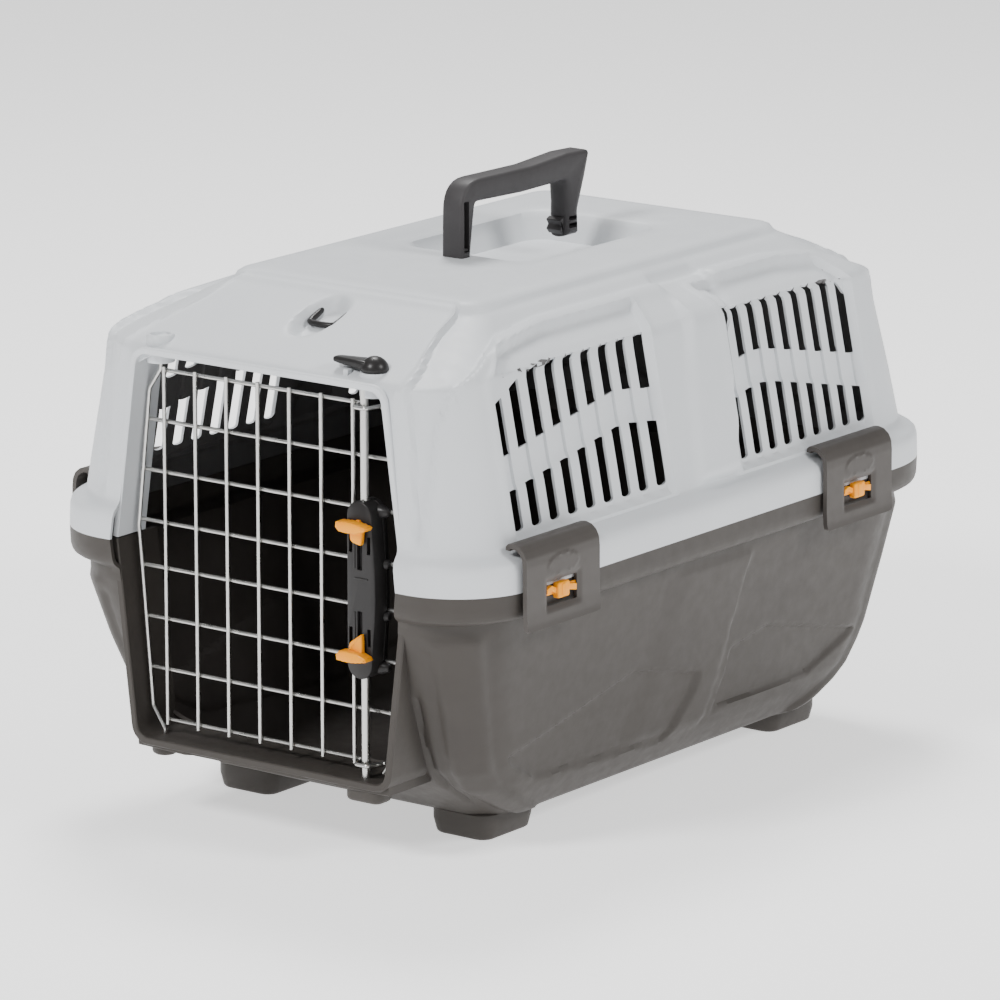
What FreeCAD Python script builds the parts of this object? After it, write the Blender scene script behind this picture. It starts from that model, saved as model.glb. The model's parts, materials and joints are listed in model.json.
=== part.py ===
"""Two-part moulded pet carrier with a wire door, four side clips and a carrying handle.

Frame: millimetres, +Z up, origin at the middle of the footprint on the floor.
The door faces -Y, the long side runs along Y, and +X is the carrier's right-hand
side for someone who stands behind it.
"""
import FreeCAD, Part
import math
import os

import Sketcher

Vector = FreeCAD.Vector

doc = FreeCAD.newDocument("PetCarrier")

# ---------------------------------------------------------------- driving sizes
SIZES = [
    ("rim_length", 550.0, "length over the rim bands"),
    ("rim_width", 362.0, "width over the rim bands"),
    ("rim_corner", 75.0, "plan radius of the rim corners"),
    ("seam_level", 188.0, "height of the seam between tray and shell"),
    ("tray_band", 19.0, "height of the dark rim band"),
    ("shell_band", 27.0, "height of the light rim band"),
    ("roof_level", 353.0, "height of the roof panel"),
    ("foot_lift", 14.0, "height of the tray's underside above the floor"),
    ("wall", 2.6, "wall of both mouldings"),
    ("skirt", 2.5, "wall of the rim bands' outer skirts"),
    ("rim_overhang", 14.0, "how far the rim stands out from the wall"),
    ("wall_corner", 62.0, "plan radius of the wall corners at the seam"),
    ("waist_level", 116.0, "height where the tray's wall begins to lean in"),
    ("waist_inset", 11.0, "how far the tray's waist lies inside its seam"),
    ("waist_corner", 58.0, "plan radius of the tray's corners at its waist"),
    ("tray_rake", 27.0, "how far the tray's sides lean in from seam to knuckle"),
    ("tray_nose_rake", 48.0, "how far the tray's front leans in from seam to knuckle"),
    ("knuckle_level", 46.0, "height where the tray turns in to its underside"),
    ("knuckle_rise", 16.0, "height of the tray's belly above the knuckle"),
    ("knuckle_corner", 50.0, "plan radius of the tray's corners at the knuckle"),
    ("underside_inset", 17.0, "extra inset of the underside"),
    ("underside_corner", 22.0, "plan radius of the underside's corners"),
    ("shoulder_level", 318.0, "height where the shell's sides turn in to the roof"),
    ("shell_rake", 22.0, "how far the shell's sides lean in from seam to shoulder"),
    ("shoulder_corner", 40.0, "plan radius of the shell's corners at the shoulder"),
    ("roof_inset", 46.5, "how far the roof panel lies inside the shoulder"),
    ("roof_corner", 26.0, "plan radius of the roof panel's corners"),
    ("visor_run", 103.0, "length of the sloping visor over the door"),
    ("foot_width", 44.0, "width of a foot across the carrier"),
    ("foot_run", 58.0, "length of a foot along the carrier"),
    ("foot_margin", 12.0, "how far a foot stays inside the underside's edge"),
    ("lip_inset", 11.0, "how far the doorway lip lies behind the rim's front"),
    ("sill_level", 57.0, "height of the doorway sill"),
    ("lintel_level", 313.0, "height of the doorway's top edge"),
    ("sill_half", 101.0, "half width of the doorway at the sill"),
    ("doorway_half", 116.5, "half width of the doorway at the seam"),
    ("lintel_half", 100.0, "half width of the doorway at the top"),
    ("doorway_cut", 8.0, "corner cut of the doorway"),
    ("collar_wall", 4.0, "wall of the collar round the doorway"),
    ("collar_run", 28.0, "depth of the collar in the upper shell"),
    ("plane_inset", 25.0, "how far the door's wire plane lies behind the rim's front"),
    ("wire", 2.7, "diameter of the door wires"),
    ("weld_sink", 0.3, "how far crossing wires are welded into each other"),
    ("wire_pitch", 25.7, "spacing of the upright wires"),
    ("pivot_offset", 90.0, "distance of the door pivot from the middle"),
    ("pivot_clearance", 0.1, "radial clearance of the door pivots"),
    ("pivot_reach", 8.0, "length of the pivots beyond the doorway's edges"),
    ("door_top", 300.0, "height of the top cross wire"),
    ("door_bottom", 67.0, "height of the bottom cross wire"),
    ("cross_step", 33.8, "spacing of the cross wires"),
    ("bolt_offset", 80.0, "distance of the bolts from the middle"),
    ("bolt_forward", 5.5, "how far the bolts run in front of the wire plane"),
    ("bolt", 5.5, "diameter of the bolts"),
    ("bolt_clearance", 0.3, "radial clearance of the bolts"),
    ("bolt_gap", 0.4, "gap between a bolt's end and its socket"),
    ("bolt_travel", 11.0, "travel of a bolt"),
    ("housing_width", 19.6, "width of the latch housing"),
    ("housing_bottom", 124.0, "lower end of the latch housing"),
    ("housing_top", 240.0, "upper end of the latch housing"),
    ("housing_stand", 12.0, "how far the housing's front stands before the wire plane"),
    ("housing_cover", 2.5, "depth of the housing's rear cover behind the wires"),
    ("housing_wall", 2.4, "wall of the latch housing"),
    ("tab_width", 24.0, "width of a thumb tab"),
    ("tab_height", 8.0, "height of a thumb tab"),
    ("tab_stand", 9.0, "how far a thumb tab stands out of the housing"),
    ("tab_stem", 5.6, "width of a thumb tab's stem"),
    ("tab_inset", 12.0, "distance of a thumb tab's outer end from the housing's end"),
    ("slot_spare", 8.0, "how much longer a tab slot is than the travel needs"),
    ("slot_play", 0.4, "side clearance of a stem in its slot"),
    ("knob_offset", 82.5, "distance of the lock knob from the middle"),
    ("knob_setback", 2.0, "how far the knob's axis lies behind the wire plane"),
    ("knob_shaft", 5.6, "diameter of the lock knob's shaft"),
    ("knob_hub", 18.4, "diameter of the lock knob's hub"),
    ("knob_reach", 30.0, "length of the lock knob's lever"),
    ("knob_head", 7.6, "diameter of the lock knob's retaining head"),
    ("seat_play", 1.0, "clearance round the lock knob's hub in the visor"),
    ("boss_top", 323.0, "height of the door bosses"),
    ("boss", 18.4, "diameter of the door bosses"),
    ("sill_boss", 10.0, "depth of the sockets below the sill"),
    ("clip_length", 78.0, "length of a side clip"),
    ("clip_drop", 51.0, "height of a side clip below its fold"),
    ("clip_sheet", 4.0, "thickness of a side clip"),
    ("clip_gap", 0.6, "clearance between a side clip and the rim"),
    ("front_clip_inset", 87.0, "distance of the front clips' middle from the rim's front"),
    ("rear_clip_inset", 127.5, "distance of the rear clips' middle from the rim's rear"),
    ("clip_barrel", 5.2, "diameter of a clip's hinge barrel"),
    ("clip_pin", 3.0, "diameter of a clip's trunnions"),
    ("pin_reach", 5.0, "length of a clip's trunnions"),
    ("pin_clearance", 0.1, "radial clearance of the trunnions"),
    ("lug_width", 6.0, "width of a hinge lug"),
    ("window_length", 32.0, "length of the window in a clip"),
    ("window_height", 18.0, "height of the window in a clip"),
    ("window_drop", 4.0, "how far the window's middle lies below the seam"),
    ("catch_length", 20.0, "length of a catch's grip"),
    ("catch_height", 11.0, "height of a catch's grip"),
    ("catch_bar", 5.0, "height of a catch's sliding bar"),
    ("catch_sheet", 1.2, "thickness of a catch's sliding bar"),
    ("catch_travel", 5.0, "travel of a catch"),
    ("slide_play", 0.3, "clearance round a catch's sliding bar"),
    ("vent_slot", 8.6, "width of a vent slot"),
    ("vent_pitch", 19.6, "spacing of the vent slots"),
    ("vent_rise", 36.0, "height of the vent slots' lower ends above the seam"),
    ("vent_bridge", 19.0, "height of the band between the vent rows"),
    ("vent_margin", 9.0, "how far the vent slots end below the shoulder"),
    ("front_vent_inset", 61.0, "distance of the first front slot from the rim's front"),
    ("rear_vents", 38.0, "distance of the first rear slot from the middle"),
    ("handle_front", 58.0, "distance of the handle's front face from the middle"),
    ("handle_rear", 83.0, "distance of the handle's rear corner from the middle"),
    ("handle_top", 406.0, "height of the handle"),
    ("handle_grip", 16.5, "depth of the handle's grip"),
    ("handle_width", 17.0, "width of the handle"),
    ("handle_leg", 13.0, "depth of the handle's front leg"),
    ("handle_post", 15.4, "diameter of the handle's rear leg"),
    ("post_offset", 66.0, "distance of the rear leg from the middle"),
    ("peg_width", 9.0, "width of the pegs below the handle's legs"),
    ("peg_play", 0.1, "clearance of the pegs in the roof"),
    ("recess_front", 42.0, "distance of the hand recess's front from the middle"),
    ("recess_rear", 112.0, "distance of the hand recess's rear from the middle"),
    ("recess_half", 54.0, "half width of the hand recess"),
    ("recess_depth", 18.0, "depth of the hand recess"),
    ("strap_inset", 76.0, "distance of the strap recess from the rim's front"),
    ("strap_length", 50.0, "length of the strap recess"),
    ("strap_width", 34.0, "width of the strap recess"),
    ("strap_floor", 327.0, "height of the strap recess's floor"),
    ("strap_rim", 0.4, "how far the strap recess's rim stands out of the visor"),
    ("strap_bar", 4.4, "thickness of the strap loop"),
    ("strap_span", 24.0, "width of the strap loop"),
    ("strap_hinge_inset", 95.0, "distance of the strap loop's hinge from the rim's front"),
    ("strap_axis", 338.0, "height of the strap loop's hinge"),
    ("strap_fall", 17.0, "length of the strap loop"),
    ("strap_pin", 1.6, "how far the strap loop's ends go into the recess's walls"),
]

sheet = doc.addObject("Spreadsheet::Sheet", "Sizes")
for row, (alias, number, meaning) in enumerate(SIZES, start=1):
    sheet.set("A%d" % row, meaning)
    sheet.set("B%d" % row, str(number))
    sheet.setAlias("B%d" % row, alias)
doc.recompute()

NAMES = {alias for alias, number, meaning in SIZES}

# Places that follow from the sizes above, as distances from the origin or the floor.
PLACES = {
    "door_lip": "rim_length / 2 - lip_inset",
    "door_plane": "rim_length / 2 - plane_inset",
    "housing_front": "door_plane + housing_stand",
    "knob_depth": "door_plane - knob_setback",
    "front_clip": "rim_length / 2 - front_clip_inset",
    "rear_clip": "rim_length / 2 - rear_clip_inset",
    "front_vents": "rim_length / 2 - front_vent_inset",
    "strap_middle": "rim_length / 2 - strap_inset",
    "strap_hinge": "rim_length / 2 - strap_hinge_inset",
    "window_level": "seam_level - window_drop",
    "vent_bottom": "seam_level + vent_rise",
    "vent_top": "shoulder_level - vent_margin",
    "vent_middle": "(vent_bottom + vent_top - vent_bridge) / 2",
}
nodes = []


def bound(text):
    """Write a rule in the sheet's own names as an expression."""
    words = []
    word = ""
    for letter in text + " ":
        if letter.isalnum() or letter == "_":
            word += letter
            continue
        if word in PLACES:
            word = "(%s)" % bound(PLACES[word])
        words.append("Sizes." + word if word in NAMES else word)
        words.append(letter)
        word = ""
    return "".join(words).strip()


def size(text):
    """The present value of a rule written in the sheet's names."""
    return float(sheet.evalExpression(bound(text)))


def tie(thing, name, text):
    """Bind one property of an object to the sheet."""
    thing.setExpression(name, bound(text))


def keep(thing, label):
    """Name an object as one of the carrier's pieces."""
    thing.Label = label
    nodes.append(thing)
    return thing


# ---------------------------------------------------------------- sketch helpers
def new_body(name):
    return doc.addObject("PartDesign::Body", name)


def sketch_on(body, role, offset, name):
    """A sketch on one of the body's origin planes, moved along that plane's normal."""
    plane = [item for item in body.Origin.OriginFeatures if item.Role == role][0]
    sketch = body.newObject("Sketcher::SketchObject", name)
    sketch.AttachmentSupport = [(plane, "")]
    sketch.MapMode = "FlatFace"
    tie(sketch, "AttachmentOffset.Base.z", offset)
    return sketch


def fix_point(sketch, index, point, across=None, up=None):
    """Tie one end of an edge to a distance from the sketch's origin."""
    for kind, rule in (("DistanceX", across), ("DistanceY", up)):
        if rule is None:
            continue
        value = size(rule)
        number = sketch.addConstraint(Sketcher.Constraint(kind, -1, 1, index, point, value))
        tie(sketch, "Constraints[%d]" % number, rule)


def add_polygon(sketch, corners):
    """A closed run of straight edges whose corners are rules in the sheet's names."""
    spots = [Vector(size(across), size(up), 0) for across, up in corners]
    first = sketch.GeometryCount
    count = len(spots)
    for index, spot in enumerate(spots):
        sketch.addGeometry(Part.LineSegment(spot, spots[(index + 1) % count]))
    for index in range(count):
        joint = Sketcher.Constraint("Coincident", first + index, 2, first + (index + 1) % count, 1)
        sketch.addConstraint(joint)
    for index, (across, up) in enumerate(corners):
        fix_point(sketch, first + index, 1, across, up)


def add_box(sketch, left, right, low, high):
    add_polygon(sketch, [(left, low), (right, low), (right, high), (left, high)])


def add_circle(sketch, across, up, diameter):
    """A circle tied by its middle and its diameter."""
    middle = Vector(size(across), size(up), 0)
    index = sketch.addGeometry(Part.Circle(middle, Vector(0, 0, 1), size(diameter) / 2))
    fix_point(sketch, index, 3, across, up)
    number = sketch.addConstraint(Sketcher.Constraint("Diameter", index, size(diameter)))
    tie(sketch, "Constraints[%d]" % number, diameter)


def add_rounded_box(sketch, half, front, rear, corner):
    """A rectangle with round corners, from -half to half across and front to rear along."""
    wide, low, high, turn = size(half), size(front), size(rear), size(corner)
    first = sketch.GeometryCount
    middles = [(wide - turn, low + turn), (wide - turn, high - turn),
               (turn - wide, high - turn), (turn - wide, low + turn)]
    ends = [Vector(turn - wide, low, 0), Vector(wide - turn, low, 0),
            Vector(wide, low + turn, 0), Vector(wide, high - turn, 0),
            Vector(wide - turn, high, 0), Vector(turn - wide, high, 0),
            Vector(-wide, high - turn, 0), Vector(-wide, low + turn, 0)]
    for index in range(4):
        start = math.pi / 2 * (index - 1)
        circle = Part.Circle(Vector(*middles[index], 0), Vector(0, 0, 1), turn)
        sketch.addGeometry(Part.LineSegment(ends[2 * index], ends[2 * index + 1]))
        sketch.addGeometry(Part.ArcOfCircle(circle, start, start + math.pi / 2))
    for index in range(4):
        line, arc, after = first + 2 * index, first + 2 * index + 1, first + (2 * index + 2) % 8
        sketch.addConstraint(Sketcher.Constraint("Tangent", line, 2, arc, 1))
        sketch.addConstraint(Sketcher.Constraint("Tangent", arc, 2, after, 1))
        direction = "Vertical" if index % 2 else "Horizontal"
        sketch.addConstraint(Sketcher.Constraint(direction, line))
        if index:
            sketch.addConstraint(Sketcher.Constraint("Equal", first + 1, arc))
    number = sketch.addConstraint(Sketcher.Constraint("Radius", first + 1, turn))
    tie(sketch, "Constraints[%d]" % number, corner)
    fix_point(sketch, first, 1, up=front)
    fix_point(sketch, first + 2, 1, across=half)
    fix_point(sketch, first + 4, 1, up=rear)
    fix_point(sketch, first + 6, 1, across="-(%s)" % half)


# ---------------------------------------------------------------- feature helpers
def loft(body, kind, name, sections):
    """A ruled loft through rounded boxes given as (level, half, front, rear, corner)."""
    sketches = []
    for number, (level, half, front, rear, corner) in enumerate(sections):
        sketch = sketch_on(body, "XY_Plane", level, "%s_section_%d" % (name, number))
        add_rounded_box(sketch, half, front, rear, corner)
        sketches.append(sketch)
    feature = body.newObject("PartDesign::" + kind, name)
    feature.Profile = sketches[0]
    feature.Sections = sketches[1:]
    feature.Ruled = True
    return feature


def pad(body, sketch, length, name, backwards=False):
    feature = body.newObject("PartDesign::Pad", name)
    feature.Profile = sketch
    tie(feature, "Length", length)
    feature.Reversed = backwards
    return feature


def pocket(body, sketch, length, name, backwards=False, both=False):
    """A pocket, checked to remove material."""
    doc.recompute()
    before = body.Shape.Volume
    feature = body.newObject("PartDesign::Pocket", name)
    feature.Profile = sketch
    tie(feature, "Length", length)
    feature.Reversed = backwards
    if both:
        feature.SideType = "Symmetric"
    doc.recompute()
    if not body.Shape.Volume < before - 0.01:
        raise RuntimeError("pocket %s removed nothing" % name)
    return feature


def inset(sections, shift, drop):
    """Loft sections moved inwards by a wall and down by a drop."""
    result = []
    for level, half, front, rear, corner in sections:
        result.append(("%s - %s" % (level, drop), "%s - %s" % (half, shift),
                       "%s + %s" % (front, shift), "%s - %s" % (rear, shift),
                       "%s - %s" % (corner, shift)))
    return result


HALF_WALL = "rim_width / 2 - rim_overhang"
END_WALL = "rim_length / 2 - rim_overhang"


def doorway(sketch, side, grow):
    """The doorway's outline above (side 1) or below (side -1) the seam, grown by a wall."""
    wide = "doorway_half + %s" % grow
    if side > 0:
        edge, end, reach = "lintel_half + %s" % grow, "lintel_level + %s" % grow, "- doorway_cut"
    else:
        edge, end, reach = "sill_half + %s" % grow, "sill_level - %s" % grow, "+ doorway_cut"
    near = "%s %s" % (end, reach)
    lean = "doorway_cut * 0.12"
    right = [(wide, "seam_level"), ("%s + %s" % (edge, lean), near),
             ("%s - doorway_cut" % edge, end)]
    left = [("-(%s)" % across, up) for across, up in reversed(right)]
    add_polygon(sketch, right + left)


def cheeks(body, name, level, length):
    """Two blocks that close the hollow rim where the doorway cuts it."""
    sketch = sketch_on(body, "XY_Plane", level, name + "_sketch")
    for sign in ("", "-"):
        near, far = sign + "(doorway_half - 2)", sign + "(doorway_half + collar_wall)"
        add_box(sketch, near, far, "-(rim_length / 2 - 1)", "-(%s - 1)" % END_WALL)
    return pad(body, sketch, length, name)


def rim_channel(body, name, level, length, backwards=False):
    """The hollow between the rim band's outer skirt and the wall."""
    sketch = sketch_on(body, "XY_Plane", level, name + "_sketch")
    add_rounded_box(sketch, "rim_width / 2 - skirt", "-(rim_length / 2 - skirt)",
                    "rim_length / 2 - skirt", "rim_corner - skirt")
    add_rounded_box(sketch, HALF_WALL, "-(%s)" % END_WALL, END_WALL, "wall_corner")
    return pocket(body, sketch, length, name, backwards)


# ---------------------------------------------------------------- base tray
def make_base_tray():
    body = new_body("BaseTray")
    walls = [
        ("foot_lift", "%s - tray_rake - underside_inset" % HALF_WALL,
         "-(%s - tray_nose_rake - 2 * underside_inset)" % END_WALL,
         "%s - tray_rake - underside_inset" % END_WALL, "underside_corner"),
        ("knuckle_level", "%s - tray_rake" % HALF_WALL,
         "-(%s - tray_nose_rake)" % END_WALL,
         "%s - tray_rake - knuckle_rise / 2" % END_WALL, "knuckle_corner"),
        ("knuckle_level + knuckle_rise", "%s - tray_rake + knuckle_rise / 4" % HALF_WALL,
         "-(%s - tray_nose_rake + knuckle_rise)" % END_WALL,
         "%s - tray_rake" % END_WALL, "knuckle_corner"),
        ("waist_level", "%s - waist_inset" % HALF_WALL, "-(%s - waist_inset)" % END_WALL,
         "%s - waist_inset" % END_WALL, "waist_corner"),
        ("seam_level", HALF_WALL, "-(%s)" % END_WALL, END_WALL, "wall_corner"),
    ]
    loft(body, "AdditiveLoft", "tray_outside", walls)

    feet = sketch_on(body, "XY_Plane", "0", "feet_sketch")
    foot_side = "%s - tray_rake - underside_inset - foot_margin" % HALF_WALL
    foot_nose = "%s - tray_nose_rake - 2 * underside_inset - foot_margin / 2" % END_WALL
    foot_tail = "%s - tray_rake - underside_inset - foot_margin / 2" % END_WALL
    for sign in ("", "-"):
        outer, inner = sign + "(%s)" % foot_side, sign + "(%s - foot_width)" % foot_side
        add_box(feet, inner, outer, "-(%s)" % foot_nose, "-(%s) + foot_run" % foot_nose)
        add_box(feet, inner, outer, "%s - foot_run" % foot_tail, foot_tail)
    pad(body, feet, "foot_lift + 1", "feet")

    band = sketch_on(body, "XY_Plane", "seam_level - tray_band", "band_sketch")
    add_rounded_box(band, "rim_width / 2", "-(rim_length / 2)", "rim_length / 2", "rim_corner")
    pad(body, band, "tray_band", "rim_band")

    collar = sketch_on(body, "XZ_Plane", "door_lip", "collar_sketch")
    doorway(collar, -1, "collar_wall")
    pad(body, collar, "collar_run + 24", "collar", backwards=True)

    hollow = inset(walls, "wall", "0")
    hollow[0] = ("foot_lift + wall",) + hollow[0][1:]
    hollow[-1] = ("seam_level + 1",) + hollow[-1][1:]
    loft(body, "SubtractiveLoft", "cabin", hollow)
    rim_channel(body, "rim_hollow", "seam_level - tray_band", "tray_band - wall", True)
    cheeks(body, "cheeks", "seam_level - tray_band", "tray_band")

    sockets = sketch_on(body, "XY_Plane", "sill_level - collar_wall - sill_boss", "socket_sketch")
    add_circle(sockets, "-pivot_offset", "-door_plane", "boss")
    add_circle(sockets, "bolt_offset", "-(door_plane + bolt_forward)", "boss - 2")
    pad(body, sockets, "sill_boss + collar_wall / 2", "sill_sockets")

    way = sketch_on(body, "XZ_Plane", "rim_length / 2 + 5", "doorway_sketch")
    doorway(way, -1, "0")
    pocket(body, way, "80", "doorway")

    holes = sketch_on(body, "XY_Plane", "sill_level + 1", "socket_hole_sketch")
    add_circle(holes, "-pivot_offset", "-door_plane", "wire + 2 * pivot_clearance")
    add_circle(holes, "bolt_offset", "-(door_plane + bolt_forward)",
               "bolt + 2 * bolt_clearance")
    pocket(body, holes, "pivot_reach + 3", "socket_holes")
    return keep(body, "base_tray")


# ---------------------------------------------------------------- top shell
def clip_places():
    """Sign across, name and middle of each side clip."""
    places = []
    for side, sign in (("right", 1), ("left", -1)):
        places.append(("front_" + side, sign, "-front_clip"))
        places.append(("rear_" + side, sign, "rear_clip"))
    return places


VISOR_FRONT = "%s - 3" % END_WALL
PIVOT_ACROSS = "rim_width / 2 - rim_overhang + clip_barrel / 2 + 1"
PIVOT_LEVEL = "seam_level + shell_band + clip_gap + clip_barrel / 2"


def visor_rule(along):
    """Height of the rim of the strap recess, just above the visor's slope."""
    slope = "(roof_level - shoulder_level) / visor_run"
    return "shoulder_level + strap_rim + (%s + %s) * %s" % (along, VISOR_FRONT, slope)


def make_top_shell():
    body = new_body("TopShell")
    shoulder = "%s - shell_rake" % HALF_WALL
    rear = "%s - shell_rake - 1" % END_WALL
    walls = [
        ("seam_level", HALF_WALL, "-(%s)" % END_WALL, END_WALL, "wall_corner"),
        ("seam_level + shell_band", "%s - 1" % HALF_WALL, "-(%s)" % END_WALL,
         "%s - 1" % END_WALL, "wall_corner - 1"),
        ("shoulder_level", shoulder, "-(%s)" % VISOR_FRONT, rear, "shoulder_corner"),
        ("shoulder_level + 0.6 * (roof_level - shoulder_level)",
         "%s - roof_inset * 0.58" % shoulder, "-(%s - visor_run * 0.6)" % VISOR_FRONT,
         "%s - roof_inset * 0.6" % rear, "(shoulder_corner + roof_corner) / 2"),
        ("roof_level", "%s - roof_inset" % shoulder, "-(%s - visor_run)" % VISOR_FRONT,
         "%s - roof_inset" % rear, "roof_corner"),
    ]
    loft(body, "AdditiveLoft", "shell_outside", walls)

    rim = [("seam_level", "0"), ("seam_level + shell_band - 9", "0"),
           ("seam_level + shell_band - 3", "2.5"), ("seam_level + shell_band", "8")]
    band = [(level, "rim_width / 2 - %s" % step, "-(rim_length / 2 - %s)" % step,
             "rim_length / 2 - %s" % step, "rim_corner - %s" % step) for level, step in rim]
    loft(body, "AdditiveLoft", "rim_band", band)

    hollow = inset(walls, "wall", "wall")
    hollow[0] = ("seam_level - 1",) + hollow[0][1:]
    loft(body, "SubtractiveLoft", "cabin", hollow)
    rim_channel(body, "rim_hollow", "seam_level", "shell_band - wall", True)
    cheeks(body, "cheeks", "seam_level", "shell_band - 3")

    collar = sketch_on(body, "XZ_Plane", "door_lip", "collar_sketch")
    doorway(collar, 1, "collar_wall")
    pad(body, collar, "collar_run", "collar", backwards=True)

    bosses = sketch_on(body, "XY_Plane", "lintel_level", "boss_sketch")
    add_circle(bosses, "-pivot_offset", "-door_plane", "boss")
    add_circle(bosses, "knob_offset", "-knob_depth", "boss")
    pad(body, bosses, "boss_top - lintel_level", "door_bosses")

    basin = sketch_on(body, "XY_Plane", "roof_level - recess_depth - wall", "basin_sketch")
    add_rounded_box(basin, "recess_half + wall", "-(recess_front + wall)",
                    "recess_rear + wall", "recess_half / 2 + wall")
    pad(body, basin, "recess_depth + wall", "hand_basin")
    dish = sketch_on(body, "XY_Plane", "strap_floor - wall", "strap_basin_sketch")
    add_rounded_box(dish, "strap_width / 2 + wall", "-(strap_middle + strap_length / 2 + wall)",
                    "-(strap_middle - strap_length / 2 - wall)", "strap_width / 3 + wall")
    pad(body, dish, "roof_level - strap_floor + wall", "strap_basin")
    trim = sketch_on(body, "YZ_Plane", "0", "strap_trim_sketch")
    near = "-(strap_middle + strap_length / 2 + 2 * wall)"
    far = "-(strap_middle - strap_length / 2 - 2 * wall)"
    add_polygon(trim, [(near, visor_rule(near)), (far, visor_rule(far)),
                       (far, "roof_level + 1"), (near, "roof_level + 1")])
    pocket(body, trim, "strap_width + 4 * wall", "strap_trim", both=True)

    way = sketch_on(body, "XZ_Plane", "rim_length / 2 + 5", "doorway_sketch")
    doorway(way, 1, "0")
    pocket(body, way, "65", "doorway")

    recess = sketch_on(body, "XY_Plane", "roof_level + 1", "recess_sketch")
    add_rounded_box(recess, "recess_half", "-recess_front", "recess_rear", "recess_half / 2")
    pocket(body, recess, "recess_depth + 1", "hand_recess")
    tear = sketch_on(body, "XY_Plane", "roof_level + 1", "strap_recess_sketch")
    add_rounded_box(tear, "strap_width / 2", "-(strap_middle + strap_length / 2)",
                    "-(strap_middle - strap_length / 2)", "strap_width / 3")
    pocket(body, tear, "roof_level + 1 - strap_floor", "strap_recess")
    ends = sketch_on(body, "YZ_Plane", "0", "strap_hole_sketch")
    add_circle(ends, "-strap_hinge", "strap_axis", "strap_bar + 2 * pin_clearance")
    pocket(body, ends, "strap_width + 3 * wall", "strap_holes", both=True)

    pegs = sketch_on(body, "XY_Plane", "roof_level + 1", "peg_hole_sketch")
    add_box(pegs, "-(peg_width / 2 + peg_play)", "peg_width / 2 + peg_play",
            "-(handle_front - 2 + peg_play)", "-(handle_front - handle_leg + 2 - peg_play)")
    add_circle(pegs, "0", "post_offset", "peg_width + 2 * peg_play")
    pocket(body, pegs, "recess_depth + wall + 4", "peg_holes")

    seat = sketch_on(body, "XY_Plane", "roof_level", "knob_seat_sketch")
    add_circle(seat, "knob_offset", "-knob_depth", "knob_hub + 2 * seat_play")
    pocket(body, seat, "roof_level - boss_top", "knob_seat")
    bore = sketch_on(body, "XY_Plane", "boss_top + 1", "bore_sketch")
    add_circle(bore, "knob_offset", "-knob_depth", "knob_shaft + 2 * bolt_clearance")
    pocket(body, bore, "boss_top - lintel_level + 5", "knob_bore")
    socket = sketch_on(body, "XY_Plane", "lintel_level - 1", "pivot_socket_sketch")
    add_circle(socket, "-pivot_offset", "-door_plane", "wire + 2 * pivot_clearance")
    add_circle(socket, "bolt_offset", "-(door_plane + bolt_forward)",
               "bolt + 2 * bolt_clearance")
    pocket(body, socket, "pivot_reach + 2", "pivot_socket", backwards=True)

    for end, start in (("front", "-front_vents"), ("rear", "rear_vents")):
        for row, low, high in (("lower", "vent_bottom", "vent_middle"),
                               ("upper", "vent_middle + vent_bridge", "vent_top")):
            slots = sketch_on(body, "YZ_Plane", "0", "vents_%s_%s_sketch" % (end, row))
            for number in range(9):
                near = "%s + %d * vent_pitch" % (start, number)
                add_box(slots, near, "%s + vent_slot" % near, low, high)
            pocket(body, slots, "rim_width", "vents_%s_%s" % (end, row), both=True)

    lugs = sketch_on(body, "XY_Plane", "seam_level + shell_band - 1", "lug_sketch")
    for place, sign, middle in clip_places():
        side = "%d * " % sign
        for end in ("-", "+"):
            near = "%s %s (clip_length / 2 + slide_play)" % (middle, end)
            far = "%s %s (clip_length / 2 + slide_play + lug_width)" % (middle, end)
            add_box(lugs, side + "(%s - clip_barrel / 2 - 1)" % PIVOT_ACROSS,
                    side + "(%s + clip_barrel / 2)" % PIVOT_ACROSS, near, far)
    pad(body, lugs, "clip_barrel + clip_gap + 1.6", "clip_lugs")
    eyes = sketch_on(body, "XZ_Plane", "0", "eye_sketch")
    for sign in ("", "-"):
        add_circle(eyes, sign + "(%s)" % PIVOT_ACROSS, PIVOT_LEVEL,
                   "clip_pin + 2 * pin_clearance")
    pocket(body, eyes, "2 * (front_clip + clip_length)", "clip_eyes", both=True)
    return keep(body, "top_shell")


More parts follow.
